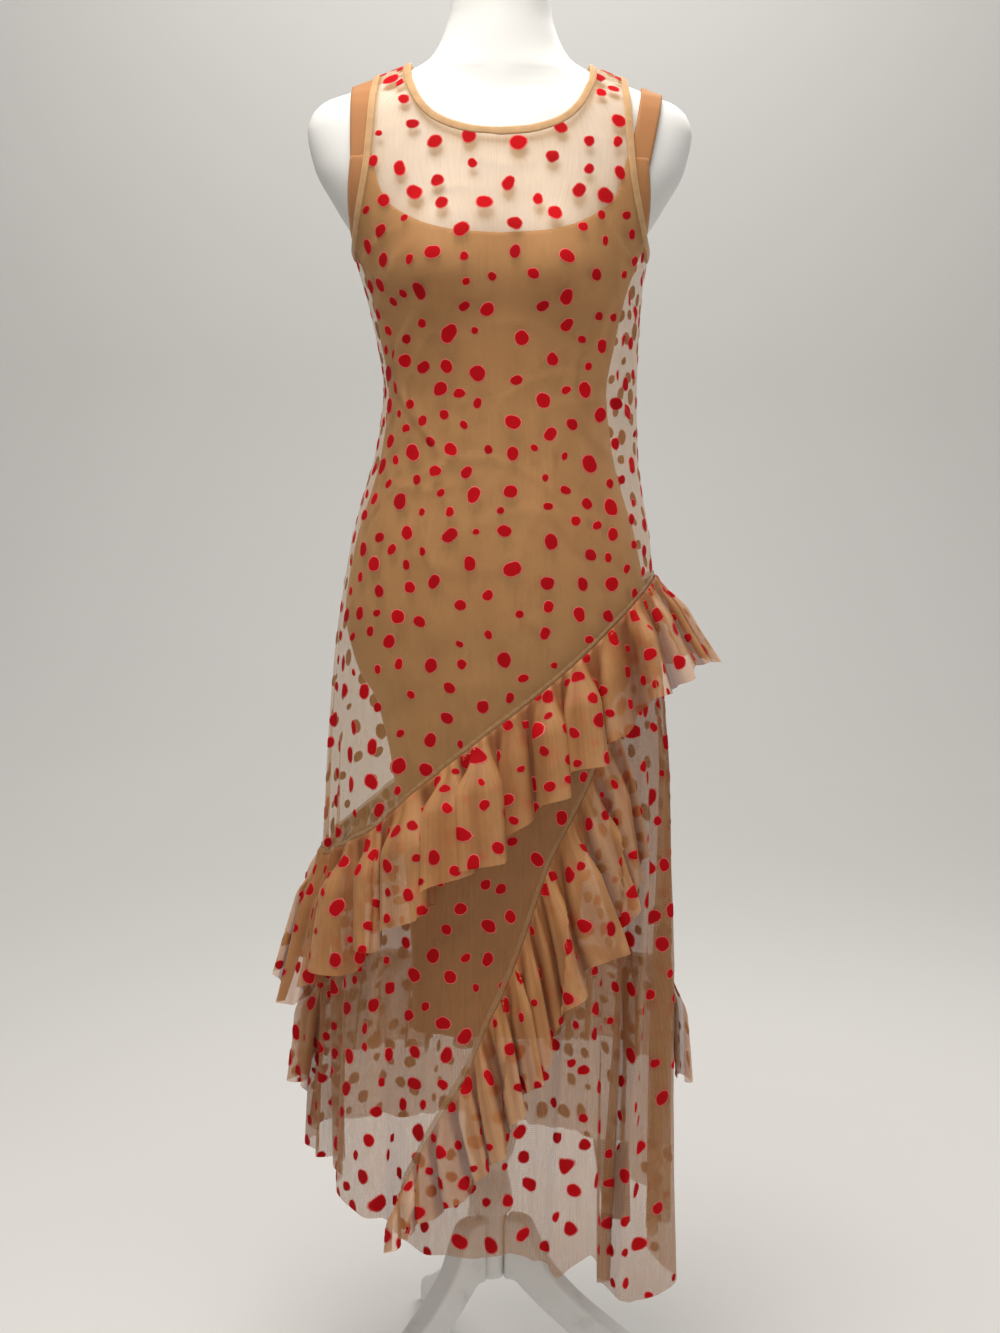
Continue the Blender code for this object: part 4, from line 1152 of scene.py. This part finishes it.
def sheet_of(name, surface, u_values, v_values, material, closed=False, flip=False, spans=(1, 1)):
    """A sheet from a surface of u and v, with its cloth coordinates in metres."""
    v_grid, u_grid = np.meshgrid(v_values, u_values, indexing="ij")
    points = surface(u_grid, v_grid)
    faces = grid_faces(len(v_values), len(u_values), closed)
    if flip:
        faces = [face[::-1] for face in faces]
    uv = np.stack([u_grid * spans[0], v_grid * spans[1]], axis=-1).reshape(-1, 2)
    return new_object(name, points.reshape(-1, 3), faces, material, uv)


def thicken(made, thickness, offset=0.0):
    wall = made.modifiers.new("thickness", "SOLIDIFY")
    wall.thickness, wall.offset = thickness, offset
    return made


def finished(made, slot, *nodes):
    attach(made, "root")
    if nodes:
        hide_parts(*nodes)
    return made


def panel_points(panels, surface, step):
    """Front and back panels in one mesh: points, faces and cloth coordinates."""
    points, faces, uv, start = [], [], [], 0
    for outline, back in panels:
        angles, heights, triangles = filled(outline, step)
        flat = np.stack([angles * BODY_RADIUS, level_of(heights)], axis=1)
        if back:
            angles = math.pi - angles
            triangles = [triangle[::-1] for triangle in triangles]
        points.append(surface(angles, heights))
        faces += [tuple(k + start for k in triangle) for triangle in triangles]
        uv.append(flat + (1.0 if back else 0.0))
        start += len(angles)
    return np.concatenate(points), faces, np.concatenate(uv)


def bodice_outline(back):
    arm, neck = (ARM_BACK, NECK_BACK) if back else (ARM_FRONT, NECK_FRONT)
    low = DRESS.seam_angle(UPPER_SEAM_MIDDLE)
    bottom = [(a, float(upper_seam(a)) + SEAM_GAP) for a in np.linspace(-low, low, 80)]
    side = side_up(DRESS, bottom[-1][1], UNDERARM, PANEL_STEP)
    top = side[-1:] + edge_path(DRESS, arm, EDGE_STEP)[1:]
    top += side_up(DRESS, SHOULDER_TIP, SHOULDER_NECK, EDGE_STEP)[1:]
    top += edge_path(DRESS, neck, EDGE_STEP)[1:]
    other = side_up(DRESS, bottom[0][1], UNDERARM, PANEL_STEP)
    return bottom + side[1:-1] + top + mirrored(top[:-1])[::-1] + mirrored(other[1:-1])[::-1]


def slip_outline(back):
    arm, neck = (SLIP_ARM_BACK, SLIP_NECK_BACK) if back else (SLIP_ARM_FRONT, SLIP_NECK_FRONT)
    low = SLIP.seam_angle(SLIP_HEM)
    bottom = [(angle, SLIP_HEM) for angle in np.linspace(-low, low, 66)]
    right = side_up(SLIP, SLIP_HEM, SLIP_UNDERARM, PANEL_STEP)
    right += edge_path(SLIP, arm, EDGE_STEP)[1:] + edge_path(SLIP, neck, EDGE_STEP)
    left = [(-angle, z) for angle, z in reversed(right[1:-1])]
    return bottom + right[1:-1] + [right[-1]] + left


# Dots


def scattered(width, height, density, seed, allowed=None):
    """Places and sizes of dots on a flat piece: x, y and radius, kept apart from each other."""
    draw = np.random.default_rng(seed)
    found = np.zeros((0, 3))
    wanted = int(width * height * density)
    for _ in range(wanted * 14):
        if len(found) >= wanted:
            break
        x, y = draw.uniform(0, width), draw.uniform(0, height)
        radius = DOT_RADII[0] + (DOT_RADII[1] - DOT_RADII[0]) * draw.beta(1.9, 1.8)
        if len(found):
            room = np.hypot(found[:, 0] - x, found[:, 1] - y) - found[:, 2] - radius
            if room.min() < DOT_GAP * draw.uniform(0.75, 1.3):
                continue
        if allowed is None or allowed(x, y, radius):
            found = np.vstack([found, (x, y, radius)])
    return found


def spread_along(surface, span, height, density, seed):
    """Places of dots on a folded strip, spread evenly along its cloth: u, v and radius."""
    u = np.linspace(*span, 6000)
    hops = np.linalg.norm(np.diff(surface(u, np.full_like(u, 0.6)), axis=0), axis=1)
    along = np.concatenate([[0], np.cumsum(hops)])
    places = scattered(along[-1], height, density, seed)
    return np.stack([np.interp(places[:, 0], along, u), places[:, 1] / height, places[:, 2]], axis=1)


def dots_on(name, surface, places, seed, material, flip=False, v_range=None):
    """Flocked dots on a surface of u and v: each place is u, v and radius."""
    draw = np.random.default_rng(seed)
    step_u = step_v = 2e-4
    ahead, behind = (surface(places[:, 0] + side * step_u, places[:, 1]) for side in (1, -1))
    length_u = np.linalg.norm(ahead - behind, axis=1) / (2 * step_u)
    usual = np.median(length_u)
    open_enough = length_u > 0.3 * usual
    places, along = places[open_enough], (ahead - behind)[open_enough] / (2 * step_u)
    length_u = np.linalg.norm(along, axis=1)
    count = len(places)
    u, v, radius = places[:, 0], places[:, 1], places[:, 2]
    down = (surface(u, v + step_v) - surface(u, v - step_v)) / (2 * step_v)
    one = along / length_u[:, None]
    shear = (down * one).sum(axis=1)
    rest = down - one * shear[:, None]
    length_v = np.linalg.norm(rest, axis=1)
    turn = np.linspace(0, 2 * math.pi, DOT_SIDES, endpoint=False)[None]
    spin, stretch = draw.uniform(0, 6.28, (count, 1)), draw.uniform(0.03, 0.20, (count, 1))
    shape = 1 + stretch * np.cos(2 * (turn - spin))
    for waves, size in ((3, 0.055), (4, 0.035), (5, 0.030)):
        how_much = size * draw.uniform(0.2, 1, (count, 1))
        shape = shape + how_much * np.cos(waves * turn + draw.uniform(0, 6.28, (count, 1)))
    tone = draw.uniform(0, 1, count)
    points, marks = [], []
    for share, rise in DOT_RINGS:
        x, y = (radius[:, None] * shape * share * wave(turn) for wave in (np.cos, np.sin))
        if share == 0.0:
            x, y = x[:, :1], y[:, :1]
        dv = y / length_v[:, None]
        most = 1.35 * radius[:, None] / usual
        du = np.clip((x - dv * shear[:, None]) / length_u[:, None], -most, most)
        at_u, at_v = u[:, None] + du, v[:, None] + dv
        if v_range:
            at_v = np.clip(at_v, *v_range)
        here = surface(at_u, at_v)
        a = surface(at_u + step_u, at_v) - surface(at_u - step_u, at_v)
        b = surface(at_u, at_v + step_v) - surface(at_u, at_v - step_v)
        normal = np.cross(a, b)
        normal = normal / np.maximum(np.linalg.norm(normal, axis=-1, keepdims=True), 1e-9)
        points.append(here + normal * (-1 if flip else 1) * (DOT_RISE * rise + DOT_LIFT))
        marks.append(np.stack([np.full(x.shape, share), np.broadcast_to(tone[:, None], x.shape)], axis=-1))
    points, marks = np.concatenate(points, axis=1), np.concatenate(marks, axis=1)
    faces = []
    per_dot = points.shape[1]
    ring_faces = []
    for i in range(DOT_SIDES):
        k = (i + 1) % DOT_SIDES
        ring_faces.append((0, 1 + i, 1 + k))
        for ring in range(len(DOT_RINGS) - 2):
            low, high = 1 + ring * DOT_SIDES, 1 + (ring + 1) * DOT_SIDES
            ring_faces.append((low + i, high + i, high + k, low + k))
    for dot in range(count):
        faces += [tuple(corner + dot * per_dot for corner in face) for face in ring_faces]
    if flip:
        faces = [face[::-1] for face in faces]
    made = new_object(name, points.reshape(-1, 3), faces, material, marks.reshape(-1, 2), uv_name="dot")
    return finished(made, "mesh_tan")


# The stand and the form


def make_form(material):
    levels = np.linspace(float(level_of(TORSO_BOTTOM)), float(level_of(TORSO_TOP)), FORM_RINGS)
    angles = np.linspace(0, 2 * math.pi, FORM_AROUND, endpoint=False)
    heights = height_of(levels)
    z_grid, a_grid = np.meshgrid(heights, angles, indexing="ij")
    points = TORSO.point(a_grid, z_grid)

    def drawn_in(ring, share, rise=0.0):
        return ring * (share, share, 1) + (0, 0, rise)

    bottom, top = points[0], points[-1]
    rows = [drawn_in(bottom, 0.35), drawn_in(bottom, 0.93), drawn_in(bottom, 0.985, 0.0012), *points[1:-1]]
    rows += [drawn_in(top, 1, -0.004), drawn_in(top, 0.985, -0.0010), drawn_in(top, 0.95), drawn_in(top, 0.5)]
    grid = np.stack(rows)
    faces = grid_faces(len(grid), FORM_AROUND, True) + end_faces(len(grid), FORM_AROUND)
    made = new_object("form_torso", grid.reshape(-1, 3), faces, material)
    return finished(made, "form_white", "torso")


def turned(profile, steps=96):
    """Points and faces of a turned solid, from its profile of radius and height."""
    fine = through(profile, len(profile) * 7)
    angles = np.linspace(0, 2 * math.pi, steps, endpoint=False)
    radius, height = fine[:, 0][:, None], fine[:, 1][:, None]
    level = np.broadcast_to(height, (len(fine), steps))
    points = np.stack([radius * np.cos(angles), radius * np.sin(angles), level], axis=-1)
    faces = grid_faces(len(fine), steps, True) + end_faces(len(fine), steps)
    return points.reshape(-1, 3), [face[::-1] for face in faces]


def make_stand(material):
    made = new_object("stand_turned_column", *turned(COLUMN_PROFILE), material)
    made.data.set_sharp_from_angle(angle=SHARP)
    finished(made, "white_paint", "stand_column")
    plate_top, plate_low = TORSO_BOTTOM - SEAM_GAP, TORSO_BOTTOM - SEAM_GAP - FLANGE_THICKNESS
    profile = (
        (FLANGE_RADIUS - 0.001, plate_top),
        (FLANGE_RADIUS, plate_top - 0.001),
        (FLANGE_RADIUS, plate_low + 0.001),
        (FLANGE_RADIUS - 0.001, plate_low),
        (POLE_RADIUS + 0.001, plate_low),
        (POLE_RADIUS, plate_low - 0.001),
        (POLE_RADIUS, POLE_FOOT + 0.001),
        (POLE_RADIUS - 0.001, POLE_FOOT),
    )
    made = new_object("stand_pole_rod", *turned(profile), material)
    made.data.set_sharp_from_angle(angle=SHARP)
    finished(made, "white_paint", "stand_pole")
    root = HUB_RADIUS + SEAM_GAP
    upper = through([(root, LEG_UPPER[0][1]), *LEG_UPPER], 60)
    lower = through(LEG_LOWER[2:] + ((root, LEG_LOWER[-1][1]),), 50)
    outline = np.concatenate([upper, np.array(LEG_LOWER[:2]), lower])
    for node, degrees in LEG_ANGLES.items():
        make_leg(node, degrees, outline, material)


def make_leg(node, degrees, outline, material):
    """A leg cut from a board, with its edges rounded over."""
    turn = math.radians(degrees)
    away = np.array([math.sin(turn), -math.cos(turn), 0])
    side = np.array([math.cos(turn), math.sin(turn), 0])
    mesh = bmesh.new()
    flanks = []
    for across in (-LEG_WIDTH / 2, LEG_WIDTH / 2):
        ring = [mesh.verts.new(r * away + across * side + np.array([0, 0, z]) + COLUMN) for r, z in outline]
        flanks.append(ring)
    mesh.faces.new(flanks[0])
    mesh.faces.new(flanks[1][::-1])
    count = len(outline)
    for k in range(count):
        n = (k + 1) % count
        mesh.faces.new([flanks[0][k], flanks[0][n], flanks[1][n], flanks[1][k]])
    bmesh.ops.recalc_face_normals(mesh, faces=mesh.faces)
    data = bpy.data.meshes.new(node + "_wood")
    mesh.to_mesh(data)
    mesh.free()
    data.shade_smooth()
    data.materials.append(material)
    made = bpy.data.objects.new(node + "_wood", data)
    bpy.context.scene.collection.objects.link(made)
    edge = made.modifiers.new("edge", "BEVEL")
    edge.width, edge.segments, edge.limit_method = LEG_BEVEL, 4, "ANGLE"
    edge.angle_limit = LEG_EDGE
    edge.harden_normals = True
    finished(made, "white_paint", node)


# The slip


def torso_at(x, z, front):
    angle = TORSO.angle_at(x, z)
    angle = angle if front else math.pi - angle
    return TORSO.point(np.array(angle), np.array(z)), TORSO.out(np.array(angle), np.array(z))


def strap_line(front_x, top_x, back_x, count=90):
    """Points on the torso and their directions out, from the front over the shoulder and down the back."""
    heights = np.linspace(CHEST, TORSO_TOP, 4000)
    widths = TORSO.columns[1](heights)
    above = heights > SHOULDER_WIDEST
    ridge = float(np.interp(abs(top_x), widths[above][::-1], heights[above][::-1]))
    rows = []
    ends = ((front_x, STRAP_FRONT - STRAP_TUCK, True), (back_x, STRAP_BACK - STRAP_TUCK, False))
    for start_x, start_z, front in ends:
        shares = np.linspace(0, 1, 60)
        shares = shares if front else shares[::-1][1:]
        for share in shares:
            ease = math.sin(share * math.pi / 2)
            z = min(start_z + (ridge - start_z) * ease, ridge - 1e-5)
            point, out = torso_at(start_x + (top_x - start_x) * ease, z, front)
            rows.append(np.concatenate([point, out]))
    return through(rows, count)


def make_slip(material):
    panels = ((slip_outline(False), False), (slip_outline(True), True))
    points, faces, uv = panel_points(panels, slip_point, SLIP_STEP)
    body = thicken(new_object("slip_body", points, faces, material, uv), SLIP_THICKNESS)
    finished(body, "slip_tan", "slip_front", "slip_back")
    across = np.linspace(-0.5, 0.5, 9)
    for side, (front_x, top_x, back_x) in STRAP_PATHS.items():
        places = [[x + a * STRAP_WIDTH for x in (front_x, top_x, back_x)] for a in across]
        lines = np.stack([strap_line(*three) for three in places])
        count = lines.shape[1]
        place, out = lines[..., :3], lines[..., 3:]
        out = out / np.linalg.norm(out, axis=-1, keepdims=True)
        lift = SLIP_OUT + 0.0004 + 0.0003 * np.sin(np.linspace(0, 26, count))[None] * across[:, None]
        sink = 1 - np.clip(np.minimum(np.arange(count), np.arange(count)[::-1]) / 6, 0, 1)
        grid = place + out * (lift - STRAP_SINK * sink)[..., None]
        length = np.linspace(0, STRAP_THREAD_LENGTH, count)
        uv = np.stack(np.broadcast_arrays(across[:, None] * STRAP_WIDTH, length[None]), axis=-1)
        name = "slip_strap_band_" + side
        faces = grid_faces(len(across), count)
        made = new_object(name, grid.reshape(-1, 3), faces, material, uv.reshape(-1, 2))
        thicken(made, STRAP_THICKNESS)
        finished(made, "slip_tan", "slip_strap_" + side)


# The mesh dress


def make_band(node, rows, hole, width, material):
    """A rounded binding that wraps the cloth's edge, from rows of angle and height along it."""
    rows = np.array(rows)
    edge = dress_point(rows[:, 0], rows[:, 1])
    out = DRESS.out(rows[:, 0], rows[:, 1])
    ahead = np.roll(edge, -1, axis=0) - np.roll(edge, 1, axis=0)
    across = np.cross(ahead, out)
    across = across / np.linalg.norm(across, axis=1, keepdims=True)
    if ((np.array(hole) - edge) * across).sum() < 0:
        across = -across
    turns = np.linspace(0, 2 * math.pi, 17)[:-1]
    profile = np.stack([-np.cos(turns), np.sin(turns)], axis=1)
    shape = np.sign(profile) * np.abs(profile) ** 0.7
    middle, half, thick = width / 2 - 0.0006, width / 2 + 0.0006, 0.0011
    draw = np.random.default_rng(5)
    knots = np.arange(0, len(rows) + 6, 6)
    uneven = 1 + 0.10 * np.interp(np.arange(len(rows)), knots, draw.uniform(-1, 1, len(knots)))
    uneven = uneven[:, None]
    rings = [across * (middle + half * a * uneven) + out * (thick * b * uneven) for a, b in shape]
    grid = edge + np.stack(rings)
    length = np.concatenate([[0], np.cumsum(np.linalg.norm(np.diff(edge, axis=0), axis=1))])
    around = np.abs(np.linspace(-1, 1, len(shape))) * width
    uv = np.stack(np.broadcast_arrays(length[None], around[:, None]), axis=-1).reshape(-1, 2)
    faces = grid_faces(len(shape), len(rows), True, True)
    made = new_object("dress_" + node, grid.reshape(-1, 3), faces, material, uv)
    tidy = bmesh.new()
    tidy.from_mesh(made.data)
    bmesh.ops.recalc_face_normals(tidy, faces=tidy.faces)
    tidy.to_mesh(made.data)
    tidy.free()
    return finished(made, "binding_tan", node)


def seam_band(seam_at, width):
    """The doubled mesh of a ruffle's seam, lying up from the seam line: a surface of u and v."""

    def surface(u, v):
        angle, z = seam_at(u)
        ahead_angle, ahead_z = seam_at(u + 1e-4)
        before_angle, before_z = seam_at(u - 1e-4)
        run, rise = (ahead_angle - before_angle) * BODY_RADIUS, ahead_z - before_z
        length = np.hypot(run, rise) * np.sign(run)
        angle, z = angle - width * v * rise / length / BODY_RADIUS, z + width * v * run / length
        ripple = 0.0004 * np.sin(u * 900) * v
        return dress_point(angle, z, out=DRESS_OUT + 0.0006 + ripple + 0.0005 * np.sin(math.pi * v))

    return surface


def bodice_dots(outline, back, flock):
    """The dots of one bodice panel, scattered on its flat outline."""
    loop = flat_loop(outline)
    low, high = loop.min(axis=0), loop.max(axis=0)

    def allowed(x, y, radius):
        return inside(np.array([[x + low[0], y + low[1]]]), loop, radius * 0.55)[0]

    wide, tall = high - low
    places = scattered(wide, tall, DOTS_PER_SQUARE_METRE, 71 + back, allowed)
    angles, heights = (places[:, 0] + low[0]) / BODY_RADIUS, height_of(places[:, 1] + low[1])
    flat = np.stack([math.pi - angles if back else angles, heights, places[:, 2]], axis=1)
    name = "dots_bodice_back" if back else "dots_bodice_front"
    return dots_on(name, dress_point, flat, 81 + back, flock)


def make_bodice(mesh, flock):
    panels = ((bodice_outline(False), False), (bodice_outline(True), True))
    points, faces, uv = panel_points(panels, dress_point, BODICE_STEP)
    bodice = new_object("dress_bodice", points, faces, mesh, uv)
    finished(bodice, "mesh_tan", "bodice_front", "bodice_back")
    dots = [bodice_dots(outline, back, flock) for outline, back in panels]


def make_skirt(mesh, flock):
    around = np.linspace(-math.pi, math.pi, SKIRT_AROUND, endpoint=False)
    down, spans = np.linspace(0, 1, SKIRT_ROWS), (SKIRT_RADIUS, SKIRT_LENGTH)
    skirt = sheet_of("dress_skirt", skirt_point, around, down, mesh, True, True, spans)
    finished(skirt, "mesh_tan", "skirt_front", "skirt_back")
    places = spread_along(skirt_point, (-math.pi, math.pi), 0.52, SKIRT_DOTS_PER_SQUARE_METRE, 91)
    dots = dots_on("dots_skirt", skirt_point, places, 92, flock, True, (0.002, 0.999))


def make_bindings(bind):
    def turned_round(rows):
        return [(math.pi - angle, z) for angle, z in rows]

    front, back = edge_path(DRESS, NECK_FRONT, EDGE_STEP), edge_path(DRESS, NECK_BACK, EDGE_STEP)
    half = front[::-1] + turned_round(back[1:])
    whole = half + mirrored(half[1:-1])[::-1]
    make_band("binding_neck", whole, (0, 0, SHOULDER_NECK), NECK_BINDING, bind)
    front, back = edge_path(DRESS, ARM_FRONT, EDGE_STEP), edge_path(DRESS, ARM_BACK, EDGE_STEP)
    whole = front + turned_round(back[1:-1])[::-1]
    for side, sign, rows in (("plus_x", 1, whole), ("minus_x", -1, mirrored(whole))):
        hole = (sign * 0.16, 0, (UNDERARM + SHOULDER_TIP) / 2)
        make_band("binding_arm_" + side, rows, hole, ARM_BINDING, bind)


# The ruffles: shape, columns and rows of its grid, flat size, seed and the solids that it stands for
RUFFLES = {
    "dress_ruffle_upper": (UPPER, 720, 44, (1.56, 0.12), 101, ("ruffle_upper_front", "ruffle_upper_back")),
    "dress_ruffle_lower_front": (LOWER, 270, 44, (0.74, 0.075), 111, ("ruffle_lower_front",)),
    "dress_ruffle_lower_back": (BACK, 360, 40, (0.80, 0.117), 121, ("ruffle_lower_back",)),
}


def make_ruffle(name, mesh, flock, band):
    ruffle, columns, rows, spans, seed, nodes = RUFFLES[name]
    along = np.linspace(0, 1, columns, endpoint=not ruffle.closed)
    down = np.linspace(0, 1, rows) ** 1.15
    flip = ruffle.closed
    made = sheet_of(name, ruffle, along, down, mesh, ruffle.closed, flip, spans)
    # The fold map: painted shade, darker deep in the folds, in the small pleats' valleys and near the
    # gathered seam, and the layers there, which make the mesh denser
    valley = (0.5 - 0.5 * np.cos(ruffle.phase(along))[None]) ** 1.3
    small = np.clip(1 - 1.6 * ruffle.pleats(along)[None], 0, 1) ** 1.5
    low = np.clip(down[:, None] / 0.22, 0, 1)
    gathered = np.exp(-((down[:, None] / 0.14) ** 2))
    deep = np.clip((0.9 * valley + 0.55 * small) * (0.4 + 0.6 * low), 0, 1)
    add_fold_map(made, np.clip(deep + 0.3 * gathered, 0, 1), np.clip(0.75 * deep + 0.6 * gathered, 0, 1))
    finished(made, "mesh_tan", *nodes)
    places = spread_along(ruffle, (0, 1), spans[1], SKIRT_DOTS_PER_SQUARE_METRE, seed)
    if not ruffle.closed:
        places[:, 0] = np.clip(places[:, 0], 0.012, 0.988)
    dots = dots_on(name.replace("dress_", "dots_"), ruffle, places, seed + 1, flock, flip, (0.004, 0.998))
    if not ruffle.closed:
        along = np.linspace(0.001, 0.999, columns)
    surface = seam_band(ruffle.seam, SEAM_WIDTH)
    size = (spans[0] / GATHERING, SEAM_WIDTH)
    seam = sheet_of(name + "_seam", surface, along, np.linspace(0, 1, 5), band, ruffle.closed, not flip, size)
    finished(seam, "mesh_tan")


def make_label(material):
    """The label hangs by one long edge, just inside the skirt, and bows and droops from it."""
    turn = math.radians(LABEL_TURN)
    corners = ((LABEL_ANGLE, LABEL_TOP), (LABEL_ANGLE + LABEL_LEAN, LABEL_BOTTOM))
    top, bottom = (dress_point(math.radians(angle), z, DRESS_OUT - LABEL_SEAT) for angle, z in corners)

    def surface(u, v):
        bow = LABEL_BOW * np.sin(u * math.pi / 2) + 0.0022 * np.sin(v * 5 + u * 2) * u
        x = -u * LABEL_WIDTH * math.cos(turn) + LABEL_SLANT * v * u
        y = u * LABEL_WIDTH * math.sin(turn) + bow
        z = -LABEL_DROOP * u * (1 - 0.3 * v)
        return top + (bottom - top) * v[..., None] + np.stack([x, y, z], axis=-1)

    flat = (LABEL_WIDTH, LABEL_LENGTH)
    across, down = np.linspace(0, 1, 24), np.linspace(0, 1, 40)
    made = sheet_of("dress_care_label", surface, across, down, material, spans=flat)
    thicken(made, LABEL_THICKNESS)
    finished(made, "label_white", "care_label")


# Studio


def make_stage():
    """A plain pale floor that curves up into a plain backdrop."""
    reach, back, corner, top = 9.0, 6.5, 1.5, 6.0
    start = back - corner
    rows = [(-back, 0.0), (start, 0.0)]
    turns = np.linspace(0.1, math.pi / 2, 14)
    rows += [(start + corner * math.sin(t), corner - corner * math.cos(t)) for t in turns]
    rows += [(back, top)]
    points = np.array([(x, y, z - 0.0006) for y, z in rows for x in (-reach, reach)])
    faces = [(2 * k, 2 * k + 1, 2 * k + 3, 2 * k + 2) for k in range(len(rows) - 1)]
    made = new_object("studio_floor", points, faces, stage_material("pale floor", (0.84, 0.825, 0.80)))
    made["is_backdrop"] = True


def area_light(name, place, target, size, power, colour):
    light = bpy.data.lights.new(name, "AREA")
    light.shape, light.size, light.energy, light.color = "DISK", size, power, colour
    made = bpy.data.objects.new(name, light)
    made.location = place
    made.rotation_euler = (Vector(target) - Vector(place)).to_track_quat("-Z", "Y").to_euler()
    bpy.context.scene.collection.objects.link(made)


# The lights: place, what it faces, width in metres, watts, colour
LIGHTS = {
    "key": ((-0.22, -0.52, 2.50), (0, 0, 0.95), 1.1, 30, (1.0, 0.965, 0.91)),
    "fill": ((1.7, -2.1, 0.9), (0, 0, 0.5), 1.5, 7.5, (0.98, 0.985, 1.0)),
    "back": ((0.9, 1.1, 2.4), (0, 0, 0.9), 1.2, 16, (1.0, 0.98, 0.95)),
    "wall": ((0, 3.6, 5.2), (0, 6.5, 1.4), 3.0, 105, (1.0, 0.985, 0.96)),
}
WORLD_COLOUR = (1.0, 0.985, 0.96, 1)
WORLD_STRENGTH = 0.25

# The photograph's camera, solved from the photo: metres, degrees and a frame 36 mm high
CAMERA_LENS = 49.34
CAMERA_ASIDE = 0.005
CAMERA_AWAY = 1.9
CAMERA_HEIGHT = 0.9886
CAMERA_TILT = 5.6
CAMERA_ROLL = 0.5


def make_lights():
    for name, row in LIGHTS.items():
        area_light(name, *row)
    world = bpy.data.worlds.new("soft studio")
    world.use_nodes = True
    colour, strength = world.node_tree.nodes["Background"].inputs[:2]
    colour.default_value, strength.default_value = WORLD_COLOUR, WORLD_STRENGTH
    bpy.context.scene.world = world


def make_camera():
    """The photograph's camera: on the column's front, a little below the middle, tilted down."""
    data = bpy.data.cameras.new("camera")
    data.sensor_fit, data.sensor_height, data.lens = "VERTICAL", 36, CAMERA_LENS
    camera = bpy.data.objects.new("camera", data)
    tilt, roll = math.radians(CAMERA_TILT), math.radians(CAMERA_ROLL)
    ahead = Vector((0, math.cos(tilt), -math.sin(tilt)))
    right = Vector((1, 0, 0))
    up = right.cross(ahead)
    turned_to = Matrix((right, up, -ahead)).transposed().to_4x4()
    place = Matrix.Translation((COLUMN_X + CAMERA_ASIDE, COLUMN_Y - CAMERA_AWAY, CAMERA_HEIGHT))
    camera.matrix_world = place @ turned_to @ Matrix.Rotation(roll, 4, "Z")
    bpy.context.scene.collection.objects.link(camera)
    bpy.context.scene.camera = camera


def main():
    scene = bpy.context.scene
    scene.view_settings.view_transform = "Standard"
    scene.cycles.transparent_max_bounces = 40
    make_camera()
    make_form(form_material())
    make_stand(paint_material())
    make_slip(jersey_material())
    flock = flock_material()
    make_bodice(mesh_material("sheer mesh", *LIT_SHEER_MESH), flock)
    make_skirt(mesh_material("skirt mesh", *SHADED_SKIRT_MESH), flock)
    gathered, band = mesh_material("gathered mesh", *GATHERED_MESH), band_material("doubled mesh", *SEAM_MESH)
    for name in RUFFLES:
        make_ruffle(name, gathered, flock, band)
    make_bindings(band_material("binding", *BINDING_MESH))
    make_label(label_material())
    make_stage()
    make_lights()
    boxes = {"cad": CAD_BOX, "visual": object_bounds()}
    sizes = {name: [[float(part) for part in corner] for corner in box] for name, box in boxes.items()}


main()
